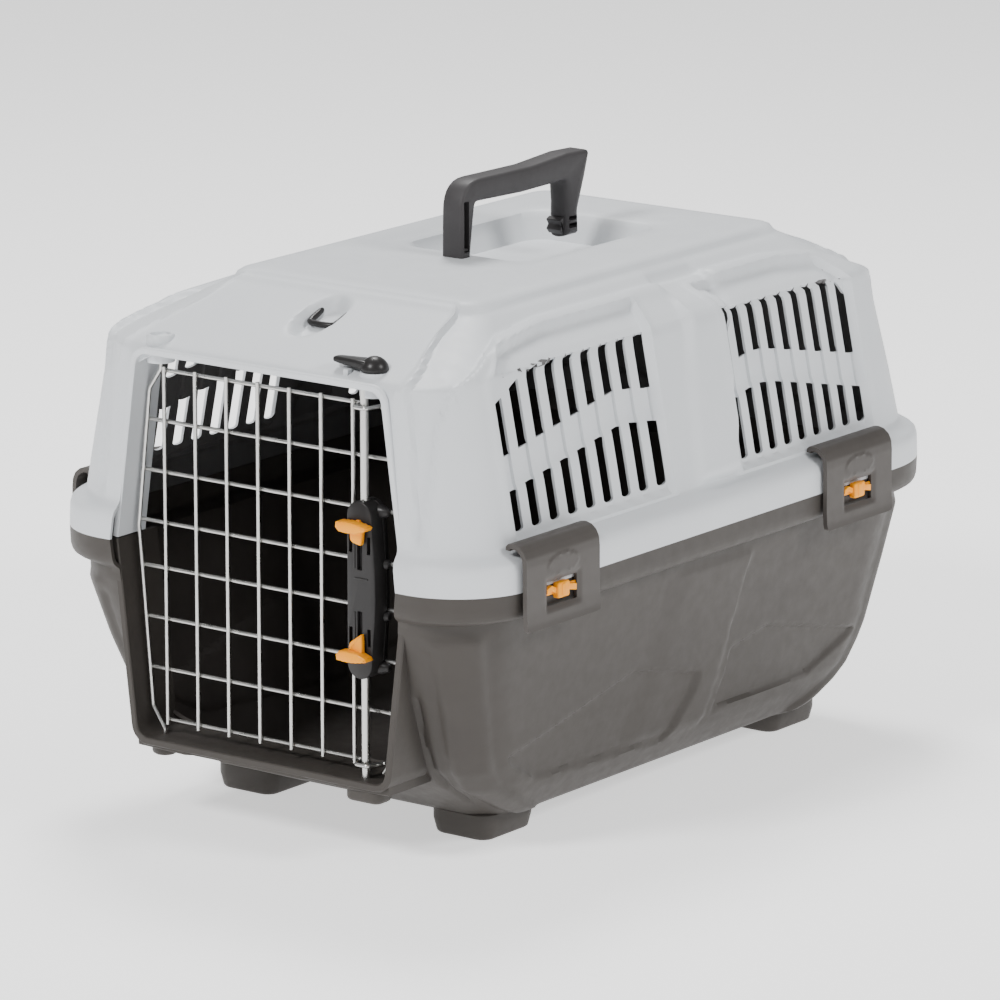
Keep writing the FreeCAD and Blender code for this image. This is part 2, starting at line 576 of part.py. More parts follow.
# ---------------------------------------------------------------- handle and strap loop
def make_handle():
    """An arch in the YZ plane with a channel in its front leg and a round rear leg."""
    body = new_body("Handle")
    side = sketch_on(body, "YZ_Plane", "0", "side_sketch")
    add_polygon(side, [
        ("-handle_front", "roof_level"),
        ("-(handle_front - handle_leg)", "roof_level"),
        ("-(handle_front - handle_leg)", "handle_top - handle_grip - 3"),
        ("-(handle_front - handle_leg - 4)", "handle_top - handle_grip"),
        ("post_offset - handle_post / 2 - 4", "handle_top - handle_grip"),
        ("post_offset - handle_post / 2", "handle_top - handle_grip - 4"),
        ("post_offset - handle_post / 2", "roof_level + 10"),
        ("post_offset + handle_post / 2", "roof_level + 10"),
        ("handle_rear - 5", "handle_top - handle_grip - 2"),
        ("handle_rear", "handle_top - 4"),
        ("handle_rear - 5", "handle_top"),
        ("-(handle_front - 24)", "handle_top - 1"),
        ("-(handle_front - 10)", "handle_top - 5"),
        ("-(handle_front - 3)", "handle_top - 14"),
        ("-handle_front", "handle_top - 26"),
    ])
    arch = body.newObject("PartDesign::Pad", "arch")
    arch.Profile = side
    arch.SideType = "Symmetric"
    tie(arch, "Length", "handle_width")

    post = sketch_on(body, "XY_Plane", "roof_level - 3", "post_sketch")
    add_circle(post, "0", "post_offset", "handle_post")
    pad(body, post, "14", "post_end")
    pegs = sketch_on(body, "XY_Plane", "roof_level - recess_depth - wall - 2", "rear_peg_sketch")
    add_circle(pegs, "0", "post_offset", "peg_width")
    pad(body, pegs, "recess_depth + wall", "rear_peg")
    peg = sketch_on(body, "XY_Plane", "roof_level - wall - 2", "front_peg_sketch")
    add_box(peg, "-peg_width / 2", "peg_width / 2", "-(handle_front - 2)",
            "-(handle_front - handle_leg + 2)")
    pad(body, peg, "wall + 3", "front_peg")

    channel = sketch_on(body, "YZ_Plane", "handle_width / 2 + 1", "channel_sketch")
    add_box(channel, "-(handle_front - 4)", "-(handle_front - handle_leg + 2.5)",
            "roof_level + 6", "handle_top - handle_grip - 6")
    pocket(body, channel, "6", "leg_channel")
    ribs = sketch_on(body, "YZ_Plane", "handle_width / 2 + 1", "window_sketch")
    for level in ("roof_level - 1", "roof_level + 5"):
        add_box(ribs, "post_offset - 2", "post_offset + 6", level, level + " + 4")
    pocket(body, ribs, "5", "post_windows")
    return keep(body, "handle")


def make_strap_loop():
    """A U of round bar whose two inner ends turn out into the recess's walls."""
    half, bar = size("strap_span") / 2, size("strap_bar")
    hinge = Vector(0, -size("strap_hinge"), size("strap_axis"))
    fall = Vector(0, -math.cos(math.radians(15)), -math.sin(math.radians(15)))
    low = hinge + fall * size("strap_fall")
    tip = size("strap_width") / 2 + size("strap_pin")
    route = [hinge + Vector(-tip, 0, 0), hinge + Vector(-half + bar, 0, 0),
             low + Vector(-half, 0, 0), low + Vector(half, 0, 0),
             hinge + Vector(half - bar, 0, 0), hinge + Vector(tip, 0, 0)]
    loop = doc.addObject("Part::Feature", "StrapLoop")
    loop.Shape = bent_wire(route, bar, bar * 0.7)
    return keep(loop, "front_strap_loop")


# ---------------------------------------------------------------- wires of the door
def bent_wire(route, diameter, bend):
    """Round wire along straight runs joined by tangent arcs of one bend radius."""
    edges = []
    start = route[0]
    for before, corner, after in zip(route, route[1:], route[2:]):
        into = (corner - before).normalize()
        out = (after - corner).normalize()
        turn = into.getAngle(out)
        reach = bend * math.tan(turn / 2)
        first, last = corner - into * reach, corner + out * reach
        inward = (out - into).normalize()
        middle = corner + inward * (bend / math.cos(turn / 2) - bend)
        edges.append(Part.makeLine(start, first))
        edges.append(Part.Arc(first, middle, last).toShape())
        start = last
    edges.append(Part.makeLine(start, route[-1]))
    path = Part.Wire(edges)
    tangent = (route[1] - route[0]).normalize()
    ring = Part.Wire([Part.makeCircle(diameter / 2, route[0], tangent)])
    return path.makePipeShell([ring], True, False)


def cross_levels():
    """Heights of the eight cross wires: even steps, with a closer pair in the middle."""
    step = size("cross_step")
    top = [size("door_top") - step * number for number in range(4)]
    bottom = [size("door_bottom") + step * number for number in range(4)]
    return top + bottom[::-1]


def frame_route(sign, plane):
    """Corners of a side frame wire from its upper end to its lower end."""
    edge, wide = size("pivot_offset"), size("doorway_half") - 6.5
    top, bottom, seam = size("door_top"), size("door_bottom"), size("seam_level")
    spots = [(edge + 9.7, top - 13), (wide, seam + 7), (wide - 2.5, seam - 20),
             (edge + 9.7, bottom + 8), (edge, bottom - 6)]
    return [Vector(sign * across, -plane, level) for across, level in spots]


CROSS_PLANE = "door_plane - wire + weld_sink"


def make_door_wires():
    wire, plane = size("wire"), size("door_plane")
    back = size(CROSS_PLANE)
    left, right = -size("pivot_offset"), size("bolt_offset")
    top, bottom, edge = size("door_top"), size("door_bottom"), size("pivot_offset")

    route = frame_route(-1, plane)
    head = Vector(left, -plane, size("lintel_level") + size("pivot_reach"))
    foot = Vector(left, -plane, size("sill_level") - size("pivot_reach"))
    route = [head, Vector(left, -plane, top + 1)] + route + [foot]
    frame = doc.addObject("Part::Feature", "LeftFrame")
    frame.Shape = bent_wire(route, wire, 4.0)
    keep(frame, "door_left_frame_wire")

    route = [Vector(edge, -plane, top)] + frame_route(1, plane)
    frame = doc.addObject("Part::Feature", "RightFrame")
    frame.Shape = bent_wire(route, wire, 4.0)
    keep(frame, "door_right_frame_wire")

    upright = []
    for number in range(7):
        rod = doc.addObject("Part::Cylinder", "Upright_%d" % number)
        tie(rod, "Radius", "wire / 2")
        tie(rod, "Height", "door_top - door_bottom + 2 * wire")
        tie(rod, "Placement.Base.x", "-pivot_offset + wire - weld_sink + %d * wire_pitch" % number)
        tie(rod, "Placement.Base.y", "-door_plane")
        tie(rod, "Placement.Base.z", "door_bottom - wire")
        upright.append(rod)
    group = doc.addObject("Part::Compound", "Uprights")
    group.Links = upright
    keep(group, "door_vertical_wires")

    cross = []
    reach = size("doorway_half") - 6.5
    for number, level in enumerate(cross_levels()):
        outer = edge if number in (0, 7) else reach - 2.0 * abs(level - size("seam_level")) / 30
        ends = [Vector(-outer, -back, level), Vector(outer, -back, level)]
        if number in (0, 7):
            bulge = plane + size("bolt_forward") + size("bolt") / 2 + wire / 2 + 0.6
            turn = size("bolt") / 2 + wire / 2 + 0.6
            ends[1:1] = [Vector(right - turn - 3, -back, level), Vector(right - turn, -bulge, level),
                         Vector(right + turn, -bulge, level), Vector(right + turn + 3, -back, level)]
            shape = bent_wire(ends, wire, 2.0)
        else:
            shape = Part.makeCylinder(wire / 2, 2 * outer, ends[0], Vector(1, 0, 0))
        cross.append(shape)
    group = doc.addObject("Part::Feature", "CrossWires")
    group.Shape = Part.makeCompound(cross)
    keep(group, "door_horizontal_wires")


# ---------------------------------------------------------------- latch
HOUSING_LEFT = "bolt_offset - housing_width / 2"
HOUSING_RIGHT = "bolt_offset + housing_width / 2"
HOUSING_BACK = "door_plane - wire - housing_cover"
HOUSING_SPLIT = "door_plane + 0.2"
HOUSING_MIDDLE = "(housing_top + housing_bottom) / 2"


def make_latch_housing():
    front = new_body("HousingFront")
    outline = sketch_on(front, "XZ_Plane", "housing_front", "outline_sketch")
    add_rounded_box(outline, "housing_width / 2", "housing_bottom", "housing_top",
                    "housing_width / 2 - 1")
    tie(outline, "AttachmentOffset.Base.x", "bolt_offset")
    pad(front, outline, "housing_front - (%s)" % HOUSING_SPLIT, "shell", backwards=True)
    hollow = sketch_on(front, "XZ_Plane", "housing_front - housing_wall", "hollow_sketch")
    add_rounded_box(hollow, "housing_width / 2 - housing_wall", "housing_bottom + housing_wall",
                    "housing_top - housing_wall", "housing_width / 2 - 1 - housing_wall")
    tie(hollow, "AttachmentOffset.Base.x", "bolt_offset")
    pocket(front, hollow, "20", "hollow")
    slots = sketch_on(front, "XZ_Plane", "housing_front + 1", "slot_sketch")
    stem = "(tab_stem / 2 + slot_play)"
    long_slot = "(bolt_travel + tab_height + slot_spare)"
    top = "housing_top - tab_inset + slot_play"
    low = "housing_bottom + tab_inset - slot_play"
    add_box(slots, "bolt_offset - %s" % stem, "bolt_offset + %s" % stem,
            "%s - %s" % (top, long_slot), top)
    add_box(slots, "bolt_offset - %s" % stem, "bolt_offset + %s" % stem,
            low, "%s + %s" % (low, long_slot))
    pocket(front, slots, "housing_wall + 2", "tab_slots")
    bores = sketch_on(front, "XY_Plane", "housing_top + 1", "bore_sketch")
    add_circle(bores, "bolt_offset", "-(door_plane + bolt_forward)", "bolt + 2 * bolt_clearance")
    pocket(front, bores, "housing_top - housing_bottom + 2", "bolt_bores")
    wall = sketch_on(front, "XZ_Plane", "housing_front - housing_wall / 2", "wall_sketch")
    add_box(wall, "%s + 1" % HOUSING_LEFT, "%s - 1" % HOUSING_RIGHT,
            "%s - 2" % HOUSING_MIDDLE, "%s + 2" % HOUSING_MIDDLE)
    pad(front, wall, "housing_front - housing_wall / 2 - (%s)" % HOUSING_SPLIT, "spring_wall",
        backwards=True)
    keep(front, "latch_housing_front")

    rear = new_body("HousingRear")
    outline = sketch_on(rear, "XZ_Plane", HOUSING_SPLIT, "outline_sketch")
    add_rounded_box(outline, "housing_width / 2", "housing_bottom", "housing_top",
                    "housing_width / 2 - 1")
    tie(outline, "AttachmentOffset.Base.x", "bolt_offset")
    pad(rear, outline, "%s - (%s)" % (HOUSING_SPLIT, HOUSING_BACK), "cover", backwards=True)
    grooves = sketch_on(rear, "YZ_Plane", HOUSING_RIGHT + " + 1", "groove_sketch")
    for number in range(2, 6):
        level = "door_top - %d * cross_step" % number
        if number > 3:
            level = "door_bottom + %d * cross_step" % (7 - number)
        add_box(grooves, "-(%s + 1)" % HOUSING_SPLIT, "-(%s - wire / 2 - 0.1)" % CROSS_PLANE,
                "%s - wire / 2 - 0.2" % level, "%s + wire / 2 + 0.2" % level)
    pocket(rear, grooves, "housing_width + 2", "wire_grooves")
    keep(rear, "latch_housing_rear")

    screws = []
    for number, sign in enumerate(("+", "-")):
        level = "%s %s 32" % (HOUSING_MIDDLE, sign)
        head = doc.addObject("Part::Cylinder", "ScrewHead_%d" % number)
        tie(head, "Radius", "2.6")
        tie(head, "Height", "1.4")
        tie(head, "Placement.Base.x", "bolt_offset")
        tie(head, "Placement.Base.y", "-(%s) + 1.4" % HOUSING_BACK)
        tie(head, "Placement.Base.z", level)
        head.Placement.Rotation = FreeCAD.Rotation(Vector(1, 0, 0), 90)
        screws.append(head)
    group = doc.addObject("Part::Compound", "Screws")
    group.Links = screws
    keep(group, "latch_screws")


def make_bolts():
    """Each bolt is a rod with a thumb tab hooked on it, and a spring behind it."""
    for name, sign, end in (("upper", 1, "housing_top - tab_inset"),
                            ("lower", -1, "housing_bottom + tab_inset")):
        tab_level = "%s - %d * tab_height / 2" % (end, sign)
        collar_level = "%s - %d * 4" % (tab_level, sign)
        if sign > 0:
            low, high = collar_level, "lintel_level - bolt_gap"
        else:
            low, high = "sill_level + bolt_gap", collar_level
        rod = doc.addObject("Part::Cylinder", "Rod_" + name)
        tie(rod, "Radius", "bolt / 2")
        tie(rod, "Height", "%s - (%s)" % (high, low))
        tie(rod, "Placement.Base.x", "bolt_offset")
        tie(rod, "Placement.Base.y", "-(door_plane + bolt_forward)")
        tie(rod, "Placement.Base.z", low)
        keep(rod, name + "_bolt_rod")

        body = new_body("Tab_" + name)
        grip = sketch_on(body, "XY_Plane", "%s - tab_height / 2" % tab_level, "grip_sketch")
        face = "-(housing_front + 0.4)"
        add_polygon(grip, [
            ("bolt_offset - tab_width / 2", face), ("bolt_offset + tab_width / 2", face),
            ("bolt_offset + tab_width / 2 - 1", "%s - tab_stand * 0.7" % face),
            ("bolt_offset + 4", "%s - tab_stand" % face),
            ("bolt_offset - 4", "%s - tab_stand" % face),
            ("bolt_offset - tab_width / 2 + 1", "%s - tab_stand * 0.7" % face)])
        pad(body, grip, "tab_height", "grip")
        stem = sketch_on(body, "XY_Plane", "%s - tab_height / 2" % tab_level, "stem_sketch")
        add_box(stem, "bolt_offset - tab_stem / 2", "bolt_offset + tab_stem / 2",
                "%s - 1" % face, "-(door_plane + bolt_forward + bolt / 2)")
        pad(body, stem, "tab_height", "stem")
        keep(body, name + "_thumb_tab")

        space = (size(collar_level) - size(HOUSING_MIDDLE)) * sign - 2
        coils, turn, thick = 7, size("bolt") / 2 - 0.6, 0.8
        height = space - 2 * thick
        start = size(HOUSING_MIDDLE) + (2 + thick if sign > 0 else -2 - thick - height)
        base = Vector(size("bolt_offset"), -size("door_plane") - size("bolt_forward"), start)
        helix = Part.makeHelix(height / coils, height, turn)
        ring = Part.Wire([Part.makeCircle(thick / 2, Vector(turn, 0, 0), Vector(0, 1, 0))])
        coil = Part.Wire(helix.Edges).makePipeShell([ring], True, True)
        spring = doc.addObject("Part::Feature", "Spring_" + name)
        spring.Shape = coil
        spring.Placement.Base = base
        keep(spring, name + "_latch_spring")


def make_knob():
    """A domed hub with a tapering lever, on a shaft with a small retaining head."""
    body = new_body("Knob")
    hub = [("boss_top + 0.3", "0"), ("boss_top + 4", "0.4"), ("boss_top + 7", "2.4"),
           ("boss_top + 8.8", "6")]
    sketches = []
    for number, (level, step) in enumerate(hub):
        sketch = sketch_on(body, "XY_Plane", level, "hub_sketch_%d" % number)
        add_circle(sketch, "knob_offset", "-knob_depth", "knob_hub - 2 * %s" % step)
        sketches.append(sketch)
    dome = body.newObject("PartDesign::AdditiveLoft", "dome")
    dome.Profile = sketches[0]
    dome.Sections = sketches[1:]
    dome.Ruled = True
    lever = sketch_on(body, "XY_Plane", "boss_top + 2", "lever_sketch")
    add_polygon(lever, [
        ("knob_offset", "-(knob_depth + knob_hub / 2 - 1)"),
        ("knob_offset", "-(knob_depth - knob_hub / 2 + 1)"),
        ("knob_offset - knob_reach + 3", "-(knob_depth - 3.5)"),
        ("knob_offset - knob_reach", "-(knob_depth - 1)"),
        ("knob_offset - knob_reach", "-(knob_depth + 2)"),
        ("knob_offset - knob_reach + 3", "-(knob_depth + 4)")])
    pad(body, lever, "5.5", "lever")
    shaft = sketch_on(body, "XY_Plane", "lintel_level - 3.4", "shaft_sketch")
    add_circle(shaft, "knob_offset", "-knob_depth", "knob_shaft")
    pad(body, shaft, "boss_top - lintel_level + 5", "shaft")
    head = sketch_on(body, "XY_Plane", "lintel_level - 2.4", "head_sketch")
    add_circle(head, "knob_offset", "-knob_depth", "knob_head")
    pad(body, head, "1.8", "head")
    keep(body, "door_lock_knob")


# ---------------------------------------------------------------- clips and catches
def make_clip(place, sign, middle):
    """An L of sheet over the rim, with a hinge barrel on its upper edge and a window."""
    body = new_body("Clip_" + place)
    side = "%d * " % sign
    inner = "rim_width / 2 + clip_gap"
    outer = "rim_width / 2 + clip_gap + clip_sheet"
    low = "seam_level + shell_band - clip_drop"
    under = "seam_level + shell_band + clip_gap"
    over = "seam_level + shell_band + clip_gap + clip_sheet * 0.75"
    profile = sketch_on(body, "XZ_Plane", "-(%s) - clip_length / 2" % middle, "profile_sketch")
    corners = [(inner, under), (inner, low), (inner + " + 1", low + " - 2"),
               (outer + " + 2", low + " - 2"), (outer, low + " + 5"),
               (outer, over + " - 5"), (outer + " - 4", over), (PIVOT_ACROSS, over),
               (PIVOT_ACROSS, under)]
    add_polygon(profile, [(side + "(%s)" % across, up) for across, up in corners])
    pad(body, profile, "clip_length", "sheet")
    barrel = sketch_on(body, "XZ_Plane", "-(%s) - clip_length / 2" % middle, "barrel_sketch")
    add_circle(barrel, side + "(%s)" % PIVOT_ACROSS, PIVOT_LEVEL, "clip_barrel")
    pad(body, barrel, "clip_length", "barrel")
    pin = sketch_on(body, "XZ_Plane", "-(%s) - clip_length / 2 - pin_reach" % middle, "pin_sketch")
    add_circle(pin, side + "(%s)" % PIVOT_ACROSS, PIVOT_LEVEL, "clip_pin")
    pad(body, pin, "clip_length + 2 * pin_reach", "trunnions")

    window = sketch_on(body, "YZ_Plane", side + "(%s + 4)" % outer, "window_sketch")
    add_box(window, "%s - window_length / 2" % middle, "%s + window_length / 2" % middle,
            "window_level - window_height / 2", "window_level + window_height / 2")
    pocket(body, window, "clip_sheet + 5", "window", backwards=sign < 0)
    groove = sketch_on(body, "YZ_Plane", side + "(%s + catch_sheet + 2 * slide_play)" % inner,
                       "groove_sketch")
    run = "(window_length / 2 + 8 + catch_travel)"
    add_box(groove, "%s - %s" % (middle, run), "%s + %s" % (middle, run),
            "window_level - catch_bar / 2 - slide_play",
            "window_level + catch_bar / 2 + slide_play")
    pocket(body, groove, "catch_sheet + 2 * slide_play + 0.5", "groove", backwards=sign < 0)
    keep(body, "clip_" + place)

    catch = new_body("Catch_" + place)
    bar = sketch_on(catch, "YZ_Plane", side + "(%s + slide_play)" % inner, "bar_sketch")
    add_box(bar, "%s - window_length / 2 - 7" % middle, "%s + window_length / 2 + 7" % middle,
            "window_level - catch_bar / 2", "window_level + catch_bar / 2")
    pad(catch, bar, "catch_sheet", "bar", backwards=sign < 0)
    grip = sketch_on(catch, "YZ_Plane", side + "(%s + slide_play)" % inner, "grip_sketch")
    add_box(grip, "%s - catch_length / 2" % middle, "%s + catch_length / 2" % middle,
            "window_level - catch_height / 2", "window_level + catch_height / 2")
    pad(catch, grip, "clip_sheet - slide_play", "grip", backwards=sign < 0)
    keep(catch, "catch_" + place)


# ---------------------------------------------------------------- build, check, write
make_base_tray()
make_top_shell()
make_handle()
make_strap_loop()
make_door_wires()
make_latch_housing()
make_bolts()
make_knob()
for place, sign, middle in clip_places():
    make_clip(place, sign, middle)
doc.recompute()

faults = []
for thing in doc.Objects:
    if "Invalid" in thing.State or "Error" in thing.State:
        faults.append("%s: %s" % (thing.Name, thing.State))
for thing in nodes:
    shape = thing.Shape
    if shape.isNull() or not shape.isValid() or not shape.Solids:
        faults.append("%s: no valid solid" % thing.Label)
if faults:
    raise RuntimeError("; ".join(faults))

os.makedirs("parts", exist_ok=True)
for thing in nodes:
    thing.Shape.exportStep(os.path.join("parts", thing.Label + ".step"))
    box = thing.Shape.BoundBox
    print("%-24s solids %d  volume %9.1f  x %.1f..%.1f  y %.1f..%.1f  z %.1f..%.1f" % (
        thing.Label, len(thing.Shape.Solids), thing.Shape.Volume,
        box.XMin, box.XMax, box.YMin, box.YMax, box.ZMin, box.ZMax))
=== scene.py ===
# %% [markdown]
# # A pet transport carrier, built round its CAD frame
# The carrier is two thin plastic mouldings, a dark tray and a light shell, with a wire door, four
# side clips and a carrying handle. The CAD model already fixes every size and every joint, so this
# lesson only makes the looks: better surfaces in the same places, and a finish for each material.

# %% Load the frame and keep the CAD box
import json
import math

import bmesh
import bpy
import numpy as np
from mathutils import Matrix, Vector


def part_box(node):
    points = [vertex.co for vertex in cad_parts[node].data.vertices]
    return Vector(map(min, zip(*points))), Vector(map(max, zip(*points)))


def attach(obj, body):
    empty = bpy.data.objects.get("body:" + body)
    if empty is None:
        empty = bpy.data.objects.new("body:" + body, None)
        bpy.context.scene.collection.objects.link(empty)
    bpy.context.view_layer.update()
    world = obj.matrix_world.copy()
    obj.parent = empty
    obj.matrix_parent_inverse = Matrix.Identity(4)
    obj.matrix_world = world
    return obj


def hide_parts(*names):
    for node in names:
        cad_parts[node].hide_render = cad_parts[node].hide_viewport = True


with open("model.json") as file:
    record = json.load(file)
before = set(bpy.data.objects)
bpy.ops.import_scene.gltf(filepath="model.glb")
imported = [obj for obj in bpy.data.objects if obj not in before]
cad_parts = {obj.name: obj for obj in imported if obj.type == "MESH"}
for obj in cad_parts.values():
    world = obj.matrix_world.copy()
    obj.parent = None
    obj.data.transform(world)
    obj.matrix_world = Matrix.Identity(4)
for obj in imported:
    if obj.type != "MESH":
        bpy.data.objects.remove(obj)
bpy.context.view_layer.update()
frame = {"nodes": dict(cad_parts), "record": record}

MM = 0.001


def box_mm(node):
    """The lowest and highest corners of a CAD node, in millimetres."""
    low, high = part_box(node)
    return np.array(low) / MM, np.array(high) / MM


shell_high = box_mm("top_shell")[1]
tray_high = box_mm("base_tray")[1]
RIM = shell_high[0]
SEAM = tray_high[2]
ROOF = shell_high[2]
print("rim half width %.1f, seam %.1f, roof %.1f mm" % (RIM, SEAM, ROOF))

# %% [markdown]
# ## Small tools for curves and grids
# A moulded surface is a grid: rows go up the wall and columns go round it. Every place on it is a
# formula of its row and column, worked out for the whole grid at once. Three soft curves make the
# steps, ribs and grooves, because a mould cutter never leaves a step without a small radius.

# %% Soft curves
def ease(value, low, high):
    """0 below low, 1 above high, and a smooth S curve between them."""
    part = np.clip((value - low) / (high - low), 0.0, 1.0)
    return part * part * (3.0 - 2.0 * part)


def hump(value, low, high, soft):
    """1 between low and high, falling to 0 over the distance soft on each side."""
    return ease(value, low - soft, low) * (1.0 - ease(value, high, high + soft))


def dip(value, middle, width):
    """A bell curve, 1 at the middle and nearly 0 at one width away."""
    return np.exp(-((value - middle) / (0.55 * width)) ** 2)


def spread(stops, counts):
    """Values that run through the stops, with the given number of steps between each pair."""
    runs = [np.linspace(a, b, n, endpoint=False) for a, b, n in zip(stops, stops[1:], counts)]
    return np.concatenate(runs + [[stops[-1]]])


# %% Grid faces
def grid_faces(rows, columns, round_columns=False):
    """Quads between neighbouring grid points; a round grid also joins its last column to its first."""
    index = np.arange(rows * columns).reshape(rows, columns)
    if round_columns:
        index = np.hstack([index, index[:, :1]])
    a, b = index[:-1, :-1], index[:-1, 1:]
    c, d = index[1:, 1:], index[1:, :-1]
    return np.stack([a, b, c, d], axis=-1)


def closing_face(faces):
    """The many-sided face over a grid's last row, turned to match the row of faces beside it."""
    beside = faces[-1, 0]
    last_row = np.unique(faces[-1])[faces.shape[1]:]
    at = int(np.flatnonzero(beside == last_row[0])[0])
    rising = beside[(at + 1) % 4] != last_row[1]
    print("closing face with", len(last_row), "corners")
    return [last_row.tolist() if rising else last_row[::-1].tolist()]


def grid_normals(points, round_columns=True):
    """Unit normals of a grid, from the cross product of its two directions."""
    if round_columns:
        wrapped = np.concatenate([points[:, -1:], points, points[:, :1]], axis=1)
        across = np.gradient(wrapped, axis=1)[:, 1:-1]
    else:
        across = np.gradient(points, axis=1)
    up = np.gradient(points, axis=0)
    normal = np.cross(across, up)
    return normal / np.maximum(np.linalg.norm(normal, axis=-1, keepdims=True), 1e-9)


# %% [markdown]
# ## Materials
# Each finish starts from what the real one is, except the shell's darker inner face, which is painted
# shade. The two mouldings are polypropylene from a spark eroded mould, so they have a fine even grain
# and a satin gloss. The door is zinc plated steel wire.
# Colours are given as sRGB hex values, and one function turns them into the linear values that the
# shader needs.

# %% Colour and node helpers
def linear(code):
    """Linear red, green and blue of an sRGB hex colour."""
    parts = np.array([int(code[i:i + 2], 16) for i in (1, 3, 5)]) / 255.0
    bright = np.where(parts <= 0.04045, parts / 12.92, ((parts + 0.055) / 1.055) ** 2.4)
    return (*bright.tolist(), 1.0)


def add_node(tree, kind, links=None, **settings):
    """One node with its settings; links maps its inputs to other nodes' outputs."""
    node = tree.nodes.new(kind)
    for name, value in settings.items():
        if name.startswith("in_"):
            key = name[3:].replace("_", " ")
            target = node.inputs[int(key)] if key.isdigit() else node.inputs[key]
            target.default_value = value
        else:
            setattr(node, name, value)
    for name, source in (links or {}).items():
        tree.links.new(source, node.inputs[name])
    return node


def new_material(name):
    """An empty node material with its Principled shader joined to the output."""
    material = bpy.data.materials.new(name)
    material.use_nodes = True
    tree = material.node_tree
    tree.nodes.clear()
    shader = add_node(tree, "ShaderNodeBsdfPrincipled")
    output = add_node(tree, "ShaderNodeOutputMaterial")
    tree.links.new(shader.outputs["BSDF"], output.inputs["Surface"])
    return material, tree, shader


def per_size(size_mm):
    """Texture scale whose pattern repeats about once in the given size."""
    return 1.0 / (size_mm * MM)


# %% [markdown]
# Moulded plastic is never one flat colour: pigment flows a little unevenly, handling polishes some
# places, and the eroded grain catches the light. The grain on the real mouldings is about 0.3 mm,
# too fine to show, so it is drawn at about 1 mm.

# %% Shared parts of a finish
GLOSS_LOW, GLOSS_HIGH = 0.3, 0.7


def cloudy_colour(tree, shader, place, size_mm, detail, rough, codes):
    """Two colours mixed by a slow noise of the given size; gives the noise back."""
    cloud = add_node(tree, "ShaderNodeTexNoise", {"Vector": place}, in_Scale=per_size(size_mm),
                     in_Detail=detail, in_Roughness=rough)
    tint = add_node(tree, "ShaderNodeMix", {"Factor": cloud.outputs["Fac"]}, data_type="RGBA")
    tint.inputs[6].default_value = linear(codes[0])
    tint.inputs[7].default_value = linear(codes[1])
    tree.links.new(tint.outputs[2], shader.inputs["Base Color"])
    return cloud


def uneven_gloss(tree, shader, noise, low, high):
    """Roughness from low to high where the noise goes from its usual low to its usual high."""
    gloss = add_node(tree, "ShaderNodeMapRange", {"Value": noise.outputs["Fac"]},
                     in_From_Min=GLOSS_LOW, in_From_Max=GLOSS_HIGH, in_To_Min=low, in_To_Max=high)
    tree.links.new(gloss.outputs["Result"], shader.inputs["Roughness"])


def fine_bump(tree, shader, noise, strength, height_mm):
    """Small heights on the surface, taken from the noise."""
    bump = add_node(tree, "ShaderNodeBump", {"Height": noise.outputs["Fac"]},
                    in_Strength=strength, in_Distance=height_mm * MM)
    tree.links.new(bump.outputs["Normal"], shader.inputs["Normal"])


# %% Moulded polypropylene
def moulded_plastic(name, code, light_code, rough, grain_mm=1.1, grain_height=0.05, ior=1.49,
                    flow_mm=70.0, sheen=0.3):
    """Satin moulded plastic: slow colour drift, eroded grain as bump, and uneven gloss."""
    material, tree, shader = new_material(name)
    place = add_node(tree, "ShaderNodeTexCoord").outputs["Object"]
    cloudy_colour(tree, shader, place, flow_mm, 3.0, 0.55, (code, light_code))
    rub = add_node(tree, "ShaderNodeTexNoise", {"Vector": place}, in_Scale=per_size(9.0),
                   in_Detail=4.0, in_Roughness=0.6)
    uneven_gloss(tree, shader, rub, rough - 0.05, rough + 0.06)
    grain = add_node(tree, "ShaderNodeTexNoise", {"Vector": place}, in_Scale=per_size(grain_mm),
                     in_Detail=2.0, in_Roughness=0.5)
    fine_bump(tree, shader, grain, 0.35, grain_height)
    shader.inputs["IOR"].default_value = ior
    shader.inputs["Specular IOR Level"].default_value = sheen
    return material


shell_finish = moulded_plastic("shell_grey_polypropylene", "#cfd2d5", "#d8dbde", 0.46)
tray_finish = moulded_plastic("tray_warm_grey_polypropylene", "#3d3936", "#433f3b", 0.5)
# The shell's inner face is the same light grey plastic as its outside; this darker grey is painted shade
# for the inside of the shell.
shell_inside_painted_shade = moulded_plastic("shell_inner_painted_shade", "#5b5a5a", "#656464", 0.6)
tray_lining = moulded_plastic("tray_inner_face", "#3d3936", "#47423f", 0.6)
clip_finish = moulded_plastic("clip_warm_grey_polypropylene", "#474340", "#4c4845", 0.42,
                              flow_mm=30.0)
handle_finish = moulded_plastic("handle_dark_grey_nylon", "#3a3839", "#413f40", 0.5, flow_mm=25.0)
latch_finish = moulded_plastic("latch_black_acetal", "#222121", "#2a2828", 0.36, flow_mm=20.0)
yellow_finish = moulded_plastic("signal_yellow_polypropylene", "#ff9b00", "#ffa800", 0.38,
                                flow_mm=8.0)
yellow_finish.node_tree.nodes["Principled BSDF"].inputs["Subsurface Weight"].default_value = 0.08
yellow_finish.node_tree.nodes["Principled BSDF"].inputs["Subsurface Scale"].default_value = 0.001


# %% [markdown]
# Zinc plating on drawn wire keeps faint drawing lines and small cloudy patches, so its roughness
# changes slowly from place to place. A metal keeps the default index of refraction.

